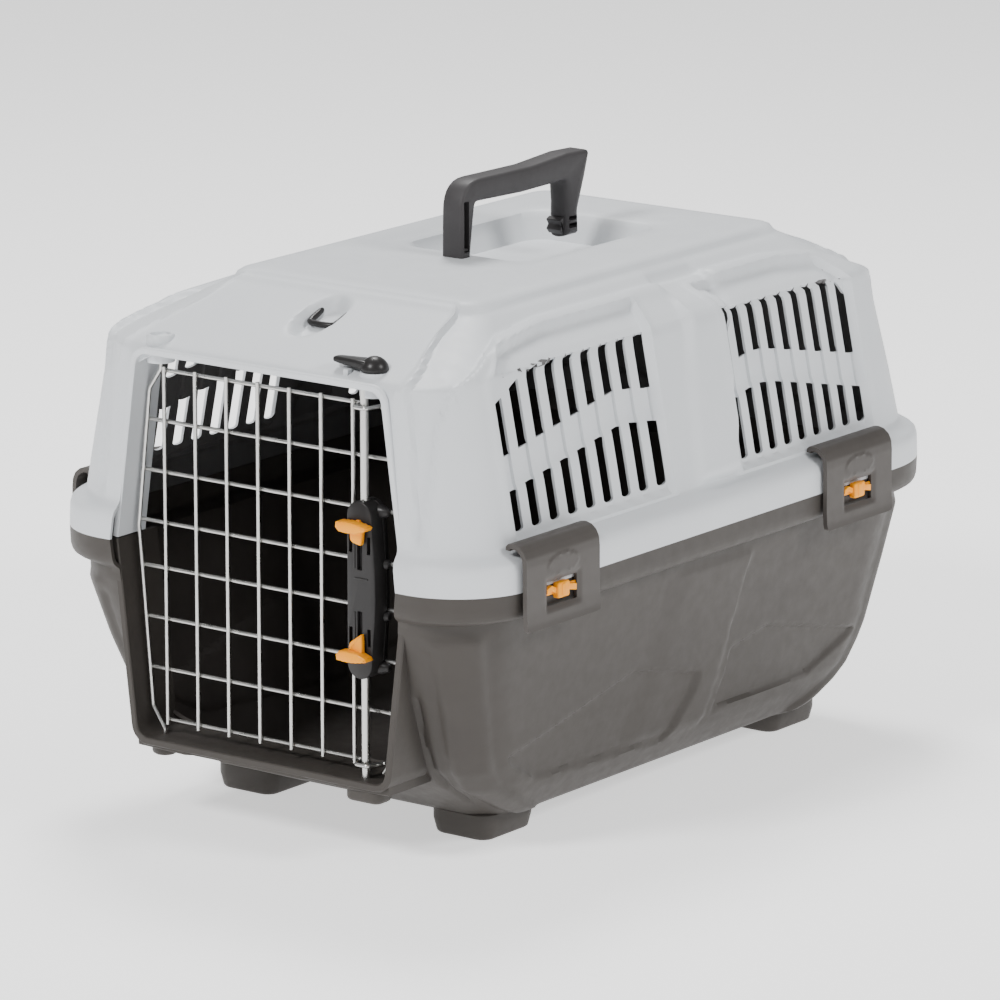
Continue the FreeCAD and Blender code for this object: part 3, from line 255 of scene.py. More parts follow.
# %% Zinc plated wire, spring steel and screws
def plated_metal(name, code, dark_code, rough, cloud_mm):
    """Bright plated steel: cloudy colour, uneven gloss and faint drawing lines."""
    material, tree, shader = new_material(name)
    place = add_node(tree, "ShaderNodeTexCoord").outputs["Object"]
    cloud = cloudy_colour(tree, shader, place, cloud_mm, 4.0, 0.6, (dark_code, code))
    uneven_gloss(tree, shader, cloud, rough - 0.06, rough + 0.08)
    lines = add_node(tree, "ShaderNodeTexNoise", {"Vector": place}, in_Scale=per_size(0.9),
                     in_Detail=1.0)
    fine_bump(tree, shader, lines, 0.2, 0.02)
    shader.inputs["Metallic"].default_value = 1.0
    return material


zinc_finish = plated_metal("zinc_plated_wire", "#dcdcda", "#b9b8b4", 0.3, 14.0)
spring_finish = plated_metal("oiled_spring_steel", "#9a9a9a", "#6f6e6c", 0.38, 6.0)
screw_finish = plated_metal("zinc_plated_screw", "#c9c9c6", "#9b9a97", 0.34, 3.0)
print("finishes:", len(bpy.data.materials))

# %% [markdown]
# ## Turning a grid into a piece
# Every new piece goes through one function. It puts the points into a mesh, merges the points that
# meet at seams and poles, gives a thin moulding its wall, rounds the hard edges, and ties the piece
# to the CAD body that it moves with.


def merge_meshes(parts):
    """Several (points, faces) pairs as one pair; the face numbers are shifted to match."""
    points, faces, start = [], [], 0
    for part_points, part_faces in parts:
        flat = np.asarray(part_points, dtype=float).reshape(-1, 3)
        points.append(flat)
        faces += [[int(i) + start for i in face] for face in part_faces]
        start += len(flat)
    return np.concatenate(points), faces


def mesh_of(name, parts, solid=True):
    """A mesh in metres from parts in mm, with its doubles merged and its faces outwards."""
    points, faces = merge_meshes(parts)
    used = np.zeros(len(points), dtype=bool)
    used[np.concatenate([np.asarray(face) for face in faces])] = True
    new_index = np.cumsum(used) - 1
    mesh = bpy.data.meshes.new(name)
    mesh.from_pydata((points[used] * MM).tolist(), [],
                     [[int(new_index[i]) for i in face] for face in faces])
    shape = bmesh.new()
    shape.from_mesh(mesh)
    bmesh.ops.remove_doubles(shape, verts=shape.verts, dist=0.02 * MM)
    bmesh.ops.dissolve_degenerate(shape, edges=shape.edges, dist=0.005 * MM)
    if solid:
        bmesh.ops.recalc_face_normals(shape, faces=shape.faces)
    shape.to_mesh(mesh)
    shape.free()
    return mesh


def carve(piece, cutters):
    """Takes the cutters away from a piece and keeps only the result's mesh."""
    tool = bpy.data.objects.new("cutter", mesh_of("cutter", cutters))
    bpy.context.scene.collection.objects.link(tool)
    cut_away = piece.modifiers.new("carve", "BOOLEAN")
    cut_away.operation = "DIFFERENCE"
    cut_away.solver = "EXACT"
    cut_away.object = tool
    shaped = piece.evaluated_get(bpy.context.evaluated_depsgraph_get())
    result = bpy.data.meshes.new_from_object(shaped)
    piece.modifiers.clear()
    piece.data = result
    bpy.data.objects.remove(tool)


def make_piece(name, parts, body, finish, replaced=(), wall=0.0, edge=0.0, solid=True, cutters=(),
               inside_finish=None):
    """A named object on a body: parts are (points in mm, faces); wall and edge are in mm."""
    mesh = mesh_of(name, parts, solid)
    mesh.materials.append(finish)
    piece = bpy.data.objects.new(name, mesh)
    bpy.context.scene.collection.objects.link(piece)
    if cutters:
        carve(piece, cutters)
    piece.data.shade_smooth()
    if inside_finish:
        piece.data.materials.append(inside_finish)
    if wall:
        thick = piece.modifiers.new("wall", "SOLIDIFY")
        thick.thickness = wall * MM
        thick.offset = -1.0
        # The inner side of the wall takes the second material; for the shell that is a darker grey that
        # paints shade.
        thick.material_offset = 1 if inside_finish else 0
    if edge:
        rounded = piece.modifiers.new("edge", "BEVEL")
        rounded.width = edge * MM
        rounded.segments = 2
        rounded.limit_method = "ANGLE"
        rounded.angle_limit = math.radians(38)
        rounded.harden_normals = True
    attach(piece, body)
    for node in replaced:
        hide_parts(node)
    print("%s: %d faces" % (name, len(piece.data.polygons)))
    return piece


def ring_stack(rings):
    """A closed solid from a stack of rings (stations, points, 3), with flat end caps."""
    rings = np.asarray(rings, dtype=float)
    stations, count = rings.shape[:2]
    faces = grid_faces(stations, count, round_columns=True).reshape(-1, 4).tolist()
    faces.append(list(range(count))[::-1])
    faces.append([(stations - 1) * count + i for i in range(count)])
    return rings.reshape(-1, 3), faces


# %% [markdown]
# ## The light shell
# The shell is one injection moulded skin, 2 mm thick. Its outline at each height is a rounded
# rectangle: half widths, front and rear come from a short table of heights, and the corners are
# quarter ellipses. Past the roof's edge the same rings go on inwards, over the flat panel and down
# into the hand recess, so "level" counts on above the roof height.

# %% Shell profile
SHELL_LEVELS = SEAM + np.array([0, 14, 18, 20.8, 23, 24.8, 27.5, 60, 121, 125, 127.6, 129.3, 130.6,
                                133, 138, 151, 159, 163.6, 165, 166, 171, 181, 183, 186, 190, 196])


def shell_table(values):
    """A quantity of the shell's outline at each of the listed levels."""
    assert len(values) == len(SHELL_LEVELS), len(values)
    return np.array(values, dtype=float)


HALF = shell_table([181, 180.6, 179.4, 176.5, 171.5, 168.7, 168, 161.6, 149.2, 148.4, 147.9, 147.5,
                    147.2, 146.0, 140.0, 119.5, 108, 99.5, 96.5, 94, 84, 56, 53, 49, 44, 6])
NOSE = shell_table([-272, -271.6, -270.6, -268.8, -266.6, -265.4, -265, -263.5, -261, -260.7, -260.3,
                    -258.7, -256.6, -250, -235.6, -198, -175, -168.8, -165.8, -163.5, -140, -45, -42,
                    -37, -32, 20])
TAIL = shell_table([272, 271.6, 270.5, 268, 264, 261.6, 261, 256, 243, 242, 240.6, 239, 237.2,
                    233, 223, 198, 184, 176, 172.5, 170, 158, 115, 112, 106, 100, 50])
CORNER_X = shell_table([56, 56, 55, 54, 52, 50.5, 50, 48, 44, 43, 42, 41, 40,
                        38, 33, 24, 16, 12, 11, 10, 14, 20, 18, 16, 14, 3])
SIDE_START = shell_table([-214, -214, -214, -214, -214, -214, -214, -214, -214, -214, -213.6, -213,
                          -212, -208, -198, -170, -156, -152, -151, -150, -124, -24, -22, -19, -16,
                          24])
SIDE_END = shell_table([198, 198, 198, 198, 198, 198, 198, 198, 198, 198, 197.6, 197, 196,
                        193, 186, 172, 163, 160, 159, 158, 142, 94, 92, 88, 84, 46])
HEIGHT = shell_table([188, 202, 206, 208.8, 211, 212.6, 215.5, 248, 309, 313, 315.6, 317.3, 318.6,
                      321, 326, 339, 347, 351.0, 352.3, 353, 353.4, 353.6, 352.4, 345, 335.6, 335])
DOOR_HALF = shell_table([116.5, 114.7, 114.1, 113.8, 113.5, 113.3, 113, 108.7, 100.5, 100, 99.8, 99.6,
                         99.4, 99, 97, 88, 82, 80, 79, 77, 62, 31, 30, 28, 26, 1.5])

# %% [markdown]
# The columns carry names: front ones stand over the doorway, cheek ones beside it, then the corner,
# the long side with its vent slots, and the rear. A vent slot needs a column on each of its edges,
# so that the slot can be cut by leaving cells out.

# %% Shell columns
SLOT_WIDTHS = (10.4, 9.3)
slot_centres = (-205.4 + 19.4 * np.arange(9), 43.8 + 17.25 * np.arange(9))
SLOT_SHARES = (-1, -0.88, -0.55, 0, 0.55, 0.88, 1)
WINDOW_ENDS = ((-212.0, -43.5), (37.0, 188.5))


def side_columns():
    """Places along the side, and for each gap to the next one whether it lies in a vent slot."""
    places, open_cell = [-214.0], []
    for centres, width in zip(slot_centres, SLOT_WIDTHS):
        for centre in centres:
            edge = width / 2
            places += [centre + share * edge for share in SLOT_SHARES]
            open_cell += [False] + [True] * (len(SLOT_SHARES) - 1)
            gap = centres[1] - centres[0] - width
            places.append(centre + edge + gap / 2)
            open_cell.append(False)
        if centres is slot_centres[0]:
            extra = np.linspace(places[-1], slot_centres[1][0] - 8.0, 22)[1:]
            places += extra.tolist()
            open_cell += [False] * len(extra)
    tail = np.linspace(places[-1], 198.0, 3)[1:]
    return np.array(places + tail.tolist()), np.array(open_cell + [False] * len(tail))


side_place, side_open = side_columns()
inner_share = spread([0, 0.26, 1.0], [14, 12])
cheek_share = np.linspace(0, 1, 10)[1:]
turn = np.linspace(0, 90, 31)[1:]
rear_turn = np.linspace(90, 0, 23)[1:-1]
rear_share = np.linspace(1, 0, 11)
GROUPS = (("inner", len(inner_share)), ("cheek", len(cheek_share)), ("corner", len(turn)),
          ("side", len(side_place) - 1), ("tail", len(rear_turn) + 1), ("back", len(rear_share) - 1))
kinds = np.concatenate([[name] * count for name, count in GROUPS])
print("columns in one half:", len(kinds), "slots:", sum(len(c) for c in slot_centres))


# %% [markdown]
# One function gives the plan position of every column at every level: straight runs across the
# front, quarter ellipses at the corners, and the long side. The same function serves the tray, with
# the tray's own table.

# %% Plan position of rows and columns
def skin_points(level, levels, table, height):
    """Points of a half skin: each column's place on the rounded rectangle of its level."""
    look = {key: np.interp(level, levels, values) for key, values in table.items()}
    half, nose, tail = look["half"], look["nose"], look["tail"]
    corner_x, start, end = look["corner_x"], look["start"], look["end"]
    door = look["door"]
    flat = half - corner_x
    x, y = np.zeros_like(level), np.zeros_like(level)
    pick = {name: np.flatnonzero(kinds == name) for name, _ in GROUPS}
    inner, cheek, corner = pick["inner"], pick["cheek"], pick["corner"]
    x[:, inner] = door[:, inner] * inner_share
    y[:, inner] = nose[:, inner]
    x[:, cheek] = door[:, cheek] + (flat - door)[:, cheek] * cheek_share
    y[:, cheek] = nose[:, cheek]
    angle = np.radians(turn)
    x[:, corner] = flat[:, corner] + corner_x[:, corner] * np.sin(angle)
    y[:, corner] = start[:, corner] + (nose - start)[:, corner] * np.cos(angle)
    side = pick["side"]
    share = (side_place[1:] - side_place[0]) / (side_place[-1] - side_place[0])
    x[:, side] = half[:, side]
    y[:, side] = start[:, side] + (end - start)[:, side] * share
    round_end = pick["tail"]
    angle = np.radians(np.append(rear_turn, 0.0))
    x[:, round_end] = flat[:, round_end] + corner_x[:, round_end] * np.sin(angle)
    y[:, round_end] = end[:, round_end] + (tail - end)[:, round_end] * np.cos(angle)
    back = pick["back"]
    x[:, back] = flat[:, back] * rear_share[1:]
    y[:, back] = tail[:, back]
    return np.stack([x, y, np.interp(level, levels, height)], axis=-1)


def whole_ring(half):
    """A half skin and its mirror image as one closed ring of columns."""
    mirrored = half[:, -2:0:-1].copy()
    if half.ndim == 3:
        mirrored[..., 0] *= -1
    return np.concatenate([half, mirrored], axis=1)


def column_line(front, side, back):
    """A value for every column: front and back values, and the side's own, blended at the corners."""
    line = np.zeros(len(kinds))
    line[(kinds == "inner") | (kinds == "cheek")] = front
    line[kinds == "side"] = side[1:]
    line[kinds == "back"] = back
    mix = ease(turn, 5, 80)
    line[kinds == "corner"] = front * (1 - mix) + side[0] * mix
    mix = ease(np.append(rear_turn, 0.0), 5, 85)
    line[kinds == "tail"] = back * (1 - mix) + side[-1] * mix
    return line


# %% [markdown]
# ## Rows of the shell
# Each row is a line of levels, one for each column. On the side the rows follow the slanted ends of
# the vent slots, and at the front they follow the doorway's top edge. The lower ends of the slots
# are round, so there the row dips in the middle of each slot.

# %% Shell rows
LINTEL = 313.0
LINTEL_CUT = 8.0
SLOT_FLOOR = 222.5
LOWER_TOP = ([-214, -205, -79, -42, 0, 50, 70, 88, 190], [246.5, 247.5, 268, 263.5, 262, 262.5, 267,
                                                         266.5, 245])
UPPER_FOOT = ([-214, -203, -80, -40, 0, 50, 72, 88, 190], [268, 269.5, 289.5, 284, 283, 284.5, 288.6,
                                                          287.6, 267])
UPPER_TOP = ([-214, -209, -172, -150, 0, 165, 180, 190], [300, 302, 318.5, 322, 322, 322, 316, 303])


def slot_offset(place):
    """How far a side place lies from the nearest slot's middle, as a share of the half slot."""
    share = np.full(len(place), 1.0)
    for centres, width in zip(slot_centres, SLOT_WIDTHS):
        distance = np.abs(place[:, None] - centres[None, :]).min(axis=1)
        share = np.minimum(share, distance / (width / 2))
    return np.minimum(share, 1.0)


offset = slot_offset(side_place)
round_end = (1 - np.sqrt(np.clip(1 - offset ** 2, 0, 1))) * 2.0
slot_foot = SLOT_FLOOR + round_end
slot_rows = [slot_foot, np.interp(side_place, *LOWER_TOP) - 0.5 * offset ** 6,
             np.interp(side_place, *UPPER_FOOT) + 0.5 * offset ** 6,
             np.interp(side_place, *UPPER_TOP) - 0.5 * offset ** 6]
flat_side = np.ones(len(side_place))
inner_line = np.concatenate([inner_share, np.ones(len(cheek_share))])
cut = LINTEL_CUT * ease(inner_line, 0.88, 1.0)
lintel_line = column_line(LINTEL, slot_rows[3] - 8.0, LINTEL)
lintel_line[:len(cut)] -= cut
KEY_ROWS = [
    column_line(188.0, flat_side * 188.0, 188.0),
    column_line(202.0, flat_side * 202.0, 202.0),
    column_line(215.5, flat_side * 215.5, 215.5),
    column_line(226.0, slot_rows[0], 226.0),
    column_line(252.0, slot_rows[1], 252.0),
    column_line(276.0, slot_rows[2], 276.0),
    lintel_line,
    column_line(317.6, slot_rows[3], 317.6),
    column_line(353.0, flat_side * 353.0, 353.0),
]
ROW_STEPS = [3, 7, 3, 7, 5, 10, 2, 34]
shell_level = [KEY_ROWS[0][None, :]]
for low_row, high_row, steps in zip(KEY_ROWS, KEY_ROWS[1:], ROW_STEPS):
    share = np.linspace(0, 1, steps + 1)[1:, None]
    shell_level.append(low_row + (high_row - low_row) * share)
panel_levels = SEAM + spread([165, 166, 181, 183, 190, 196], [2, 6, 3, 5, 6])[1:]
shell_level.append(np.repeat(panel_levels[:, None], len(kinds), axis=1))
shell_level = np.concatenate(shell_level)
row_key = np.cumsum([0] + ROW_STEPS)
print("shell grid: %d rows, %d half columns" % shell_level.shape)

# %% [markdown]
# ## Relief of the shell
# The moulded relief is a height added along the surface's normal. A shallow channel runs up each
# corner and along the shoulder, between the roof's edge and a crease on the window's side, and the
# brow below the crease swells a little. A teardrop basin on the front slope holds the strap bar.
# The windows are set back, the bridge between the two slot rows is set back further so that the
# bars stand proud of it, and a broad rib stands between the two windows.

# %% Shell relief
SHELL_TABLE = {"half": HALF, "nose": NOSE, "tail": TAIL, "corner_x": CORNER_X,
               "start": SIDE_START, "end": SIDE_END, "door": DOOR_HALF}
RIB_EDGES = {"foot": ([206, 284, 326], [-23.5, -16.7, -2.0]),
             "ridge": ([206, 269, 314], [-13.4, -4.5, 3.0]),
             "right": ([206, 275, 324], [29.6, 38.7, 55.2])}
corner_arc = 70.0
arc = np.zeros(len(kinds))
arc[kinds == "inner"] = -25 - 90 * (1 - inner_share)
arc[kinds == "cheek"] = -25 * (1 - cheek_share)
arc[kinds == "corner"] = turn / 90 * corner_arc
arc[kinds == "side"] = corner_arc + side_place[1:] - side_place[0]
side_run = side_place[-1] - side_place[0]
arc[kinds == "tail"] = corner_arc * 2 + side_run - np.append(rear_turn, 0) / 90 * corner_arc
arc[kinds == "back"] = corner_arc * 2 + side_run + 25 + 90 * (1 - rear_share[1:])
near_arc = np.minimum(arc, corner_arc * 2 + side_run - arc)
place_line = np.full(len(kinds), -999.0)
place_line[kinds == "side"] = side_place[1:]
place_line[kinds == "corner"] = side_place[0] - corner_arc * (1 - turn / 90)
place_line[kinds == "tail"] = side_place[-1] + corner_arc * (1 - np.append(rear_turn, 0) / 90)
CREASE = ([-60, 8, 15, 20, 30, 43, 58, 70, 120], [150, 190, 222, 250, 295, 319, 331, 337, 341])
VALLEY = ([188, 216, 270, 300, 318, 331, 347], [7, 8, 12, 14, 10, 2, -1])


def shell_relief(level, points):
    """Height of the relief, in mm: channel, valley, windows, rib, panel line and strap basin."""
    column = np.broadcast_to(near_arc, level.shape)
    wide_place = np.broadcast_to(place_line, level.shape)
    crease_level = np.interp(column, *CREASE)
    slope = (np.interp(column + 1, *CREASE) - np.interp(column - 1, *CREASE)) / 2
    past_crease = (level - crease_level) / np.sqrt(1 + slope ** 2)
    past_valley = column - np.interp(level, *VALLEY)
    below_panel = 351.2 - level
    gap = hump(wide_place, 6.0, 60.0, 9.0) * ease(level, 318, 334) * (1 - ease(level, 343, 350))
    above_band = ease(level, 213.5, 224)
    channel = ease(past_crease, -1.5, 1.5) * ease(past_valley, -1.5, 1.5) * ease(below_panel, -1.2, 1.8)
    brow = 1.6 * dip(past_crease, -3.5, 6.0) * above_band * (1 - gap) * ease(level, 290, 318)
    edge_lift = 0.9 * dip(past_valley, -3.0, 4.5) * above_band * ease(352.5 - level, 0, 5)
    window, frame_lip = np.zeros(level.shape), np.zeros(level.shape)
    for low, high in WINDOW_ENDS:
        window += hump(wide_place, low, high, 1.6)
        frame_lip += hump(wide_place, low - 5.0, high + 5.0, 3.0)
    window *= ease(level, 217.0, 219.0) * ease(-past_crease, 4.5, 7.5)
    frame_lip *= ease(level, 213.5, 217.0) * ease(-past_crease, 1.0, 4.5)
    deeper = ease(level - np.interp(wide_place, *LOWER_TOP), -1.0, 1.0)
    foot = np.interp(level, *RIB_EDGES["foot"])
    ridge = np.interp(level, *RIB_EDGES["ridge"])
    right = np.interp(level, *RIB_EDGES["right"])
    rib = ease(wide_place, foot, ridge) * (1 - ease(wide_place, right - 3.5, right))
    rib *= ease(level, 215, 221) * (1 - ease(level, 326, 341))
    panel = -1.1 * dip(level - 352.2, 0.0, 1.6) * ease(-column, -8.0, 12.0)
    across, along = points[..., 0], points[..., 1]
    basin = np.hypot(across / 17.0, (along + 199.0) / 26.0)
    sunk = -9.0 * ease(1.0 - basin, 0.0, 0.36) * (level > 318)
    return (brow + edge_lift - 3.2 * channel * above_band - window * (2.8 + 1.2 * deeper)
            + 1.2 * np.clip(frame_lip - window, 0, 1)
            + 4.6 * rib - 3.0 * gap + panel + sunk)


def bridge_relief(shape):
    """The set back bridge panels between the lower and the upper slots, cell by cell."""
    relief = np.zeros(shape)
    side_columns_index = np.flatnonzero(kinds == "side")
    inner_slot = np.zeros(len(kinds), dtype=bool)
    inner_slot[side_columns_index] = offset[1:] < 0.9
    rows = slice(row_key[4], row_key[5] + 1)
    relief[rows, inner_slot] = -2.0
    return relief


def recess_shift(points, level):
    """Moves the hand recess 4 mm towards the left side; its rim follows smoothly."""
    inward = ease(level, 360, 368)[..., None]
    return points + inward * np.array([-4.0, 0.0, 0.0])


half_points = skin_points(shell_level, SHELL_LEVELS, SHELL_TABLE, HEIGHT)
half_relief = shell_relief(shell_level, half_points) + bridge_relief(shell_level.shape)
ring_level = whole_ring(shell_level)
shell_base = whole_ring(half_points)
shell_relief_ring = whole_ring(half_relief)
shell_normal = grid_normals(shell_base)
shell_points = shell_base + shell_normal * shell_relief_ring[..., None]
shell_points = recess_shift(shell_points, ring_level)

# %% [markdown]
# The slots and the doorway are cut by leaving out their cells before the wall gets its thickness, so
# the wall's rim closes every slot.

# %% Shell openings and the shell itself
half_open = np.zeros((shell_level.shape[0] - 1, len(kinds)), dtype=bool)
side_index = np.flatnonzero(kinds == "side")
slot_cells = side_index[side_open] - 1
for low_key, high_key in ((3, 4), (5, 7)):
    half_open[row_key[low_key]:row_key[high_key], slot_cells] = True
half_open[:row_key[6], kinds == "inner"] = True
half_open[:, len(inner_share) - 1] = False
half_cells = half_open[:, :-1]
open_cells = np.concatenate([half_cells, half_cells[:, ::-1]], axis=1)
shell_faces = grid_faces(*shell_base.shape[:2], round_columns=True)
print("cells", shell_faces.shape, "cut", int(open_cells.sum()))
shell_cells = shell_faces[~open_cells].tolist() + closing_face(shell_faces)
# The shell's inner wall takes the darker grey, which is painted shade, through the wall's second
# material.
make_piece("shell_moulding", [(shell_points, shell_cells)], "top", shell_finish,
           replaced=["top_shell"], wall=2.0, edge=0.3, solid=False, inside_finish=shell_inside_painted_shade)

# %% [markdown]
# ## The dark tray
# The tray is the same kind of skin, upside down: its levels count downwards from the seam. Under the
# rim band the walls lean in, the front most of all, and below the knuckle they turn in to the flat
# underside. The doorway is cut down to the sill.

# %% Tray profile
TRAY_LEVELS = np.array([0, 12, 16, 18.5, 20, 22.5, 28, 72, 114, 127, 142, 152, 162, 170, 174, 178, 190],
                       dtype=float)
TRAY_TABLE = {
    "half": [181, 180.6, 179.4, 176, 170.5, 166.8, 165.6, 156, 147.6, 144, 139.5, 134.5, 127.5, 121,
             116.5, 108, 6],
    "nose": [-272, -271.6, -270.6, -268.5, -266.5, -265.6, -265, -252, -233, -226, -212, -198, -184,
             -174, -168, -158, -20],
    "tail": [272, 271.6, 270.5, 268, 264, 261.4, 260, 252, 241, 236, 229, 221, 211, 202, 197, 188, 20],
    "corner_x": [56, 56, 55, 54, 52, 50.5, 50, 46, 42, 40, 38, 35, 32, 29, 27, 25, 3],
    "start": [-214, -214, -214, -214, -214, -214, -213, -202, -188, -182, -170, -158, -146, -138, -134,
              -128, -16],
    "end": [198, 198, 198, 198, 198, 198, 198, 196, 192, 190, 184, 178, 172, 166, 162, 156, 16],
    "door": [116.5, 115.1, 114.6, 114.3, 114.1, 113.8, 113.2, 108, 103, 101.5, 100, 97, 93, 88, 84, 78,
             3],
}
TRAY_HEIGHT = [188, 176, 172, 169.8, 168.6, 167.4, 160, 116, 74, 61, 46, 36, 26, 18, 15.4, 14, 14]
SILL_DEPTH = SEAM - 57.0
sill_line = column_line(SILL_DEPTH, np.full(len(side_place), SILL_DEPTH), SILL_DEPTH)
sill_line[:len(cut)] -= cut
TRAY_KEYS = [0.0, 12.0, 22.5, 28.0, sill_line, 142.0, 162.0, 178.0, 190.0]
TRAY_STEPS = [3, 7, 2, 46, 5, 9, 8, 6]
tray_level = [np.zeros((1, len(kinds)))]
for low_row, high_row, steps in zip(TRAY_KEYS, TRAY_KEYS[1:], TRAY_STEPS):
    share = np.linspace(0, 1, steps + 1)[1:, None]
    tray_level.append((low_row + (high_row - low_row) * share) * np.ones(len(kinds)))
tray_level = np.concatenate(tray_level)
sill_row = sum(TRAY_STEPS[:4])

# %% [markdown]
# The tray's relief is a handful of panels and ridges. A panel is a flat polygon on the side wall: the
# distance to its nearest edge, positive inside, tells how far the surface is let down.

# %% Tray relief
def polygon_depth(across, up, corners):
    """Distance inside a convex polygon, negative outside: the least distance to its edges."""
    corners = np.array(corners, dtype=float)
    depth = np.full(np.shape(across), 1e9)
    for (a, b), (c, d) in zip(corners, np.roll(corners, -1, axis=0)):
        length = math.hypot(c - a, d - b)
        depth = np.minimum(depth, ((across - a) * (d - b) - (up - b) * (c - a)) / length)
    return depth


FIRST_FLUTE = ([60, 75, 108, 130, 150, 168], [7.5, 7.0, 5.4, 8.0, 16.0, 24.0])
SECOND_FLUTE = ([26, 32, 73, 115, 141, 150, 162, 174], [17.0, 17.0, 19.4, 18.7, 20.0, 27.0, 37.0, 58.0])
FRONT_PANEL = ((-222, 134), (-62, 98), (-29, 106), (16, 106), (12, 70), (-6, 36), (-153, 44),
               (-184, 60), (-206, 80), (-219, 108))
REAR_PANEL = ((52, 106), (91, 97), (214, 119), (204, 70), (156, 48.5), (44, 46))


def tray_relief(level, points):
    """Height of the tray's relief: sunk side panels, two corner flutes, a column and a step line."""
    y, z = points[..., 1], points[..., 2]
    side = np.broadcast_to(kinds == "side", level.shape) | (near_arc > corner_arc - 14)
    relief = np.zeros(level.shape)
    for panel in (FRONT_PANEL, REAR_PANEL):
        relief -= 2.6 * ease(polygon_depth(y, z, panel), -1.4, 1.8) * side
    column = np.broadcast_to(near_arc, level.shape)
    below_band = ease(level, 26, 34) * (1 - ease(level, 166, 176))
    first = np.interp(level, *FIRST_FLUTE)
    second = np.interp(level, *SECOND_FLUTE)
    relief -= 2.4 * dip(column, first, 5.0) * ease(level, 60, 84) * (1 - ease(level, 150, 168))
    at_front = 1 - 0.6 * (y > 0)
    relief -= 3.0 * dip(column, second, 6.5) * ease(level, 28, 44) * (
        1 - ease(level, 166, 176)) * at_front
    relief += 3.0 * hump(column, second + 2.0, second + 26.0, 9.0) * below_band
    middle_line = 50 - 0.16 * (154 - z)
    relief += 1.5 * ease(y, middle_line - 96, middle_line - 66) * (
        1 - ease(y, middle_line - 1.2, middle_line + 1.2)) * side * ease(level, 26, 32) * (
            1 - ease(level, 144, 154))
    return relief


tray_half = skin_points(tray_level, TRAY_LEVELS, TRAY_TABLE, TRAY_HEIGHT)
tray_base = whole_ring(tray_half)
tray_normal = -grid_normals(tray_base)
tray_points = tray_base + tray_normal * whole_ring(tray_relief(tray_level, tray_half))[..., None]
tray_open = np.zeros((tray_level.shape[0] - 1, len(kinds)), dtype=bool)
tray_open[:sill_row, kinds == "inner"] = True
tray_open[:, len(inner_share) - 1] = False
tray_open = np.concatenate([tray_open[:, :-1], tray_open[:, :-1][:, ::-1]], axis=1)
tray_faces = grid_faces(*tray_base.shape[:2], round_columns=True)[:, :, ::-1]
tray_cells = tray_faces[~tray_open].tolist() + closing_face(tray_faces)
make_piece("tray_moulding", [(tray_points, tray_cells)], "base", tray_finish,
           replaced=["base_tray"], wall=2.6, edge=0.35, solid=False, inside_finish=tray_lining)

# %% [markdown]
# ## Doorway collar, sill and feet
# Round the doorway both mouldings turn in to a collar that the door closes against. A collar is a
# profile carried along the doorway's edge: the edge is a run of points, and at each point the
# profile is laid out along the outward direction and the depth.

# %% Profile along a path
def carry_profile(path, outward, profile):
    """A closed profile (outward, depth along Y) at each point of a path, as a capped solid."""
    path, outward = np.asarray(path, float), np.asarray(outward, float)
    profile = np.asarray(profile, float)
    rings = (path[:, None, :] + outward[:, None, :] * profile[None, :, :1]
             + np.array((0.0, 1.0, 0.0)) * profile[None, :, 1:])
    return ring_stack(rings)


def path_outward(path):
    """Outward directions of a path in the XZ plane, to the left of its run, mitred at corners."""
    step = np.diff(path, axis=0)
    step /= np.linalg.norm(step, axis=1, keepdims=True)
    side = np.stack([-step[:, 2], np.zeros(len(step)), step[:, 0]], axis=1)
    before, after = np.vstack([side[:1], side]), np.vstack([side, side[-1:]])
    total = before + after
    return total / (1 + (before * after).sum(axis=1, keepdims=True))


def rounded_corner(centre, radius, start, end, steps=6):
    """Points of an arc in the XZ plane from one angle to another, in degrees."""
    angle = np.radians(np.linspace(start, end, steps))
    return np.stack([centre[0] + radius * np.cos(angle), np.zeros(steps),
                     centre[1] + radius * np.sin(angle)], axis=1)


LIP = 264.0
upper_edge = np.concatenate([[[116.4, 0, 188.3]], rounded_corner((91.6, 304.5), 8.6, 8, 90),
                             rounded_corner((-91.6, 304.5), 8.6, 90, 172), [[-116.4, 0, 188.3]]])
upper_edge[:, 1] = -LIP
COLLAR = [(-0.4, 0.0), (0.6, -0.6), (3.6, -0.6), (4.2, 0.2), (4.2, 2.4), (3.0, 3.4), (2.6, 28.0),
          (-0.2, 28.0)]
make_piece("shell_doorway_collar", [carry_profile(upper_edge, -path_outward(upper_edge), COLLAR)],
           "top", shell_finish, edge=0.3)

lower_edge = np.concatenate([[[116.4, 0, 187.7]], rounded_corner((93.6, 65.6), 8.4, -5, -90),
                             rounded_corner((-93.6, 65.6), 8.4, -90, -175), [[-116.4, 0, 187.7]]])
lower_edge[:, 1] = -LIP
TRAY_COLLAR = [(-0.4, 0.0), (0.4, -0.8), (4.0, -0.8), (4.8, 0.2), (4.8, 40.0), (-0.2, 40.0)]
make_piece("tray_doorway_collar", [carry_profile(lower_edge, path_outward(lower_edge), TRAY_COLLAR)],
           "base", tray_finish, edge=0.3)


# %% [markdown]
# Small moulded blocks are stacks of rounded rectangles: the half sizes shrink at the first and last
# stations, which rounds the block's ends.

# %% Rounded blocks
def rounded_rectangle(half_a, half_b, radius, steps=5):
    """Points round a rectangle whose corners are quarter circles."""
    radius = min(radius, half_a * 0.999, half_b * 0.999)
    angle = np.radians(np.linspace(0, 90, steps))
    quarter = np.stack([np.cos(angle), np.sin(angle)], axis=1) * radius
    runs = []
    for turn_index, (sign_a, sign_b) in enumerate(((1, 1), (-1, 1), (-1, -1), (1, -1))):
        turned = math.radians(90 * turn_index)
        spin = np.array([[math.cos(turned), math.sin(turned)], [-math.sin(turned), math.cos(turned)]])
        runs.append(quarter @ spin + [sign_a * (half_a - radius), sign_b * (half_b - radius)])
    return np.concatenate(runs)


AXES = {"x": (1, 2, 0), "y": (0, 2, 1), "z": (0, 1, 2)}


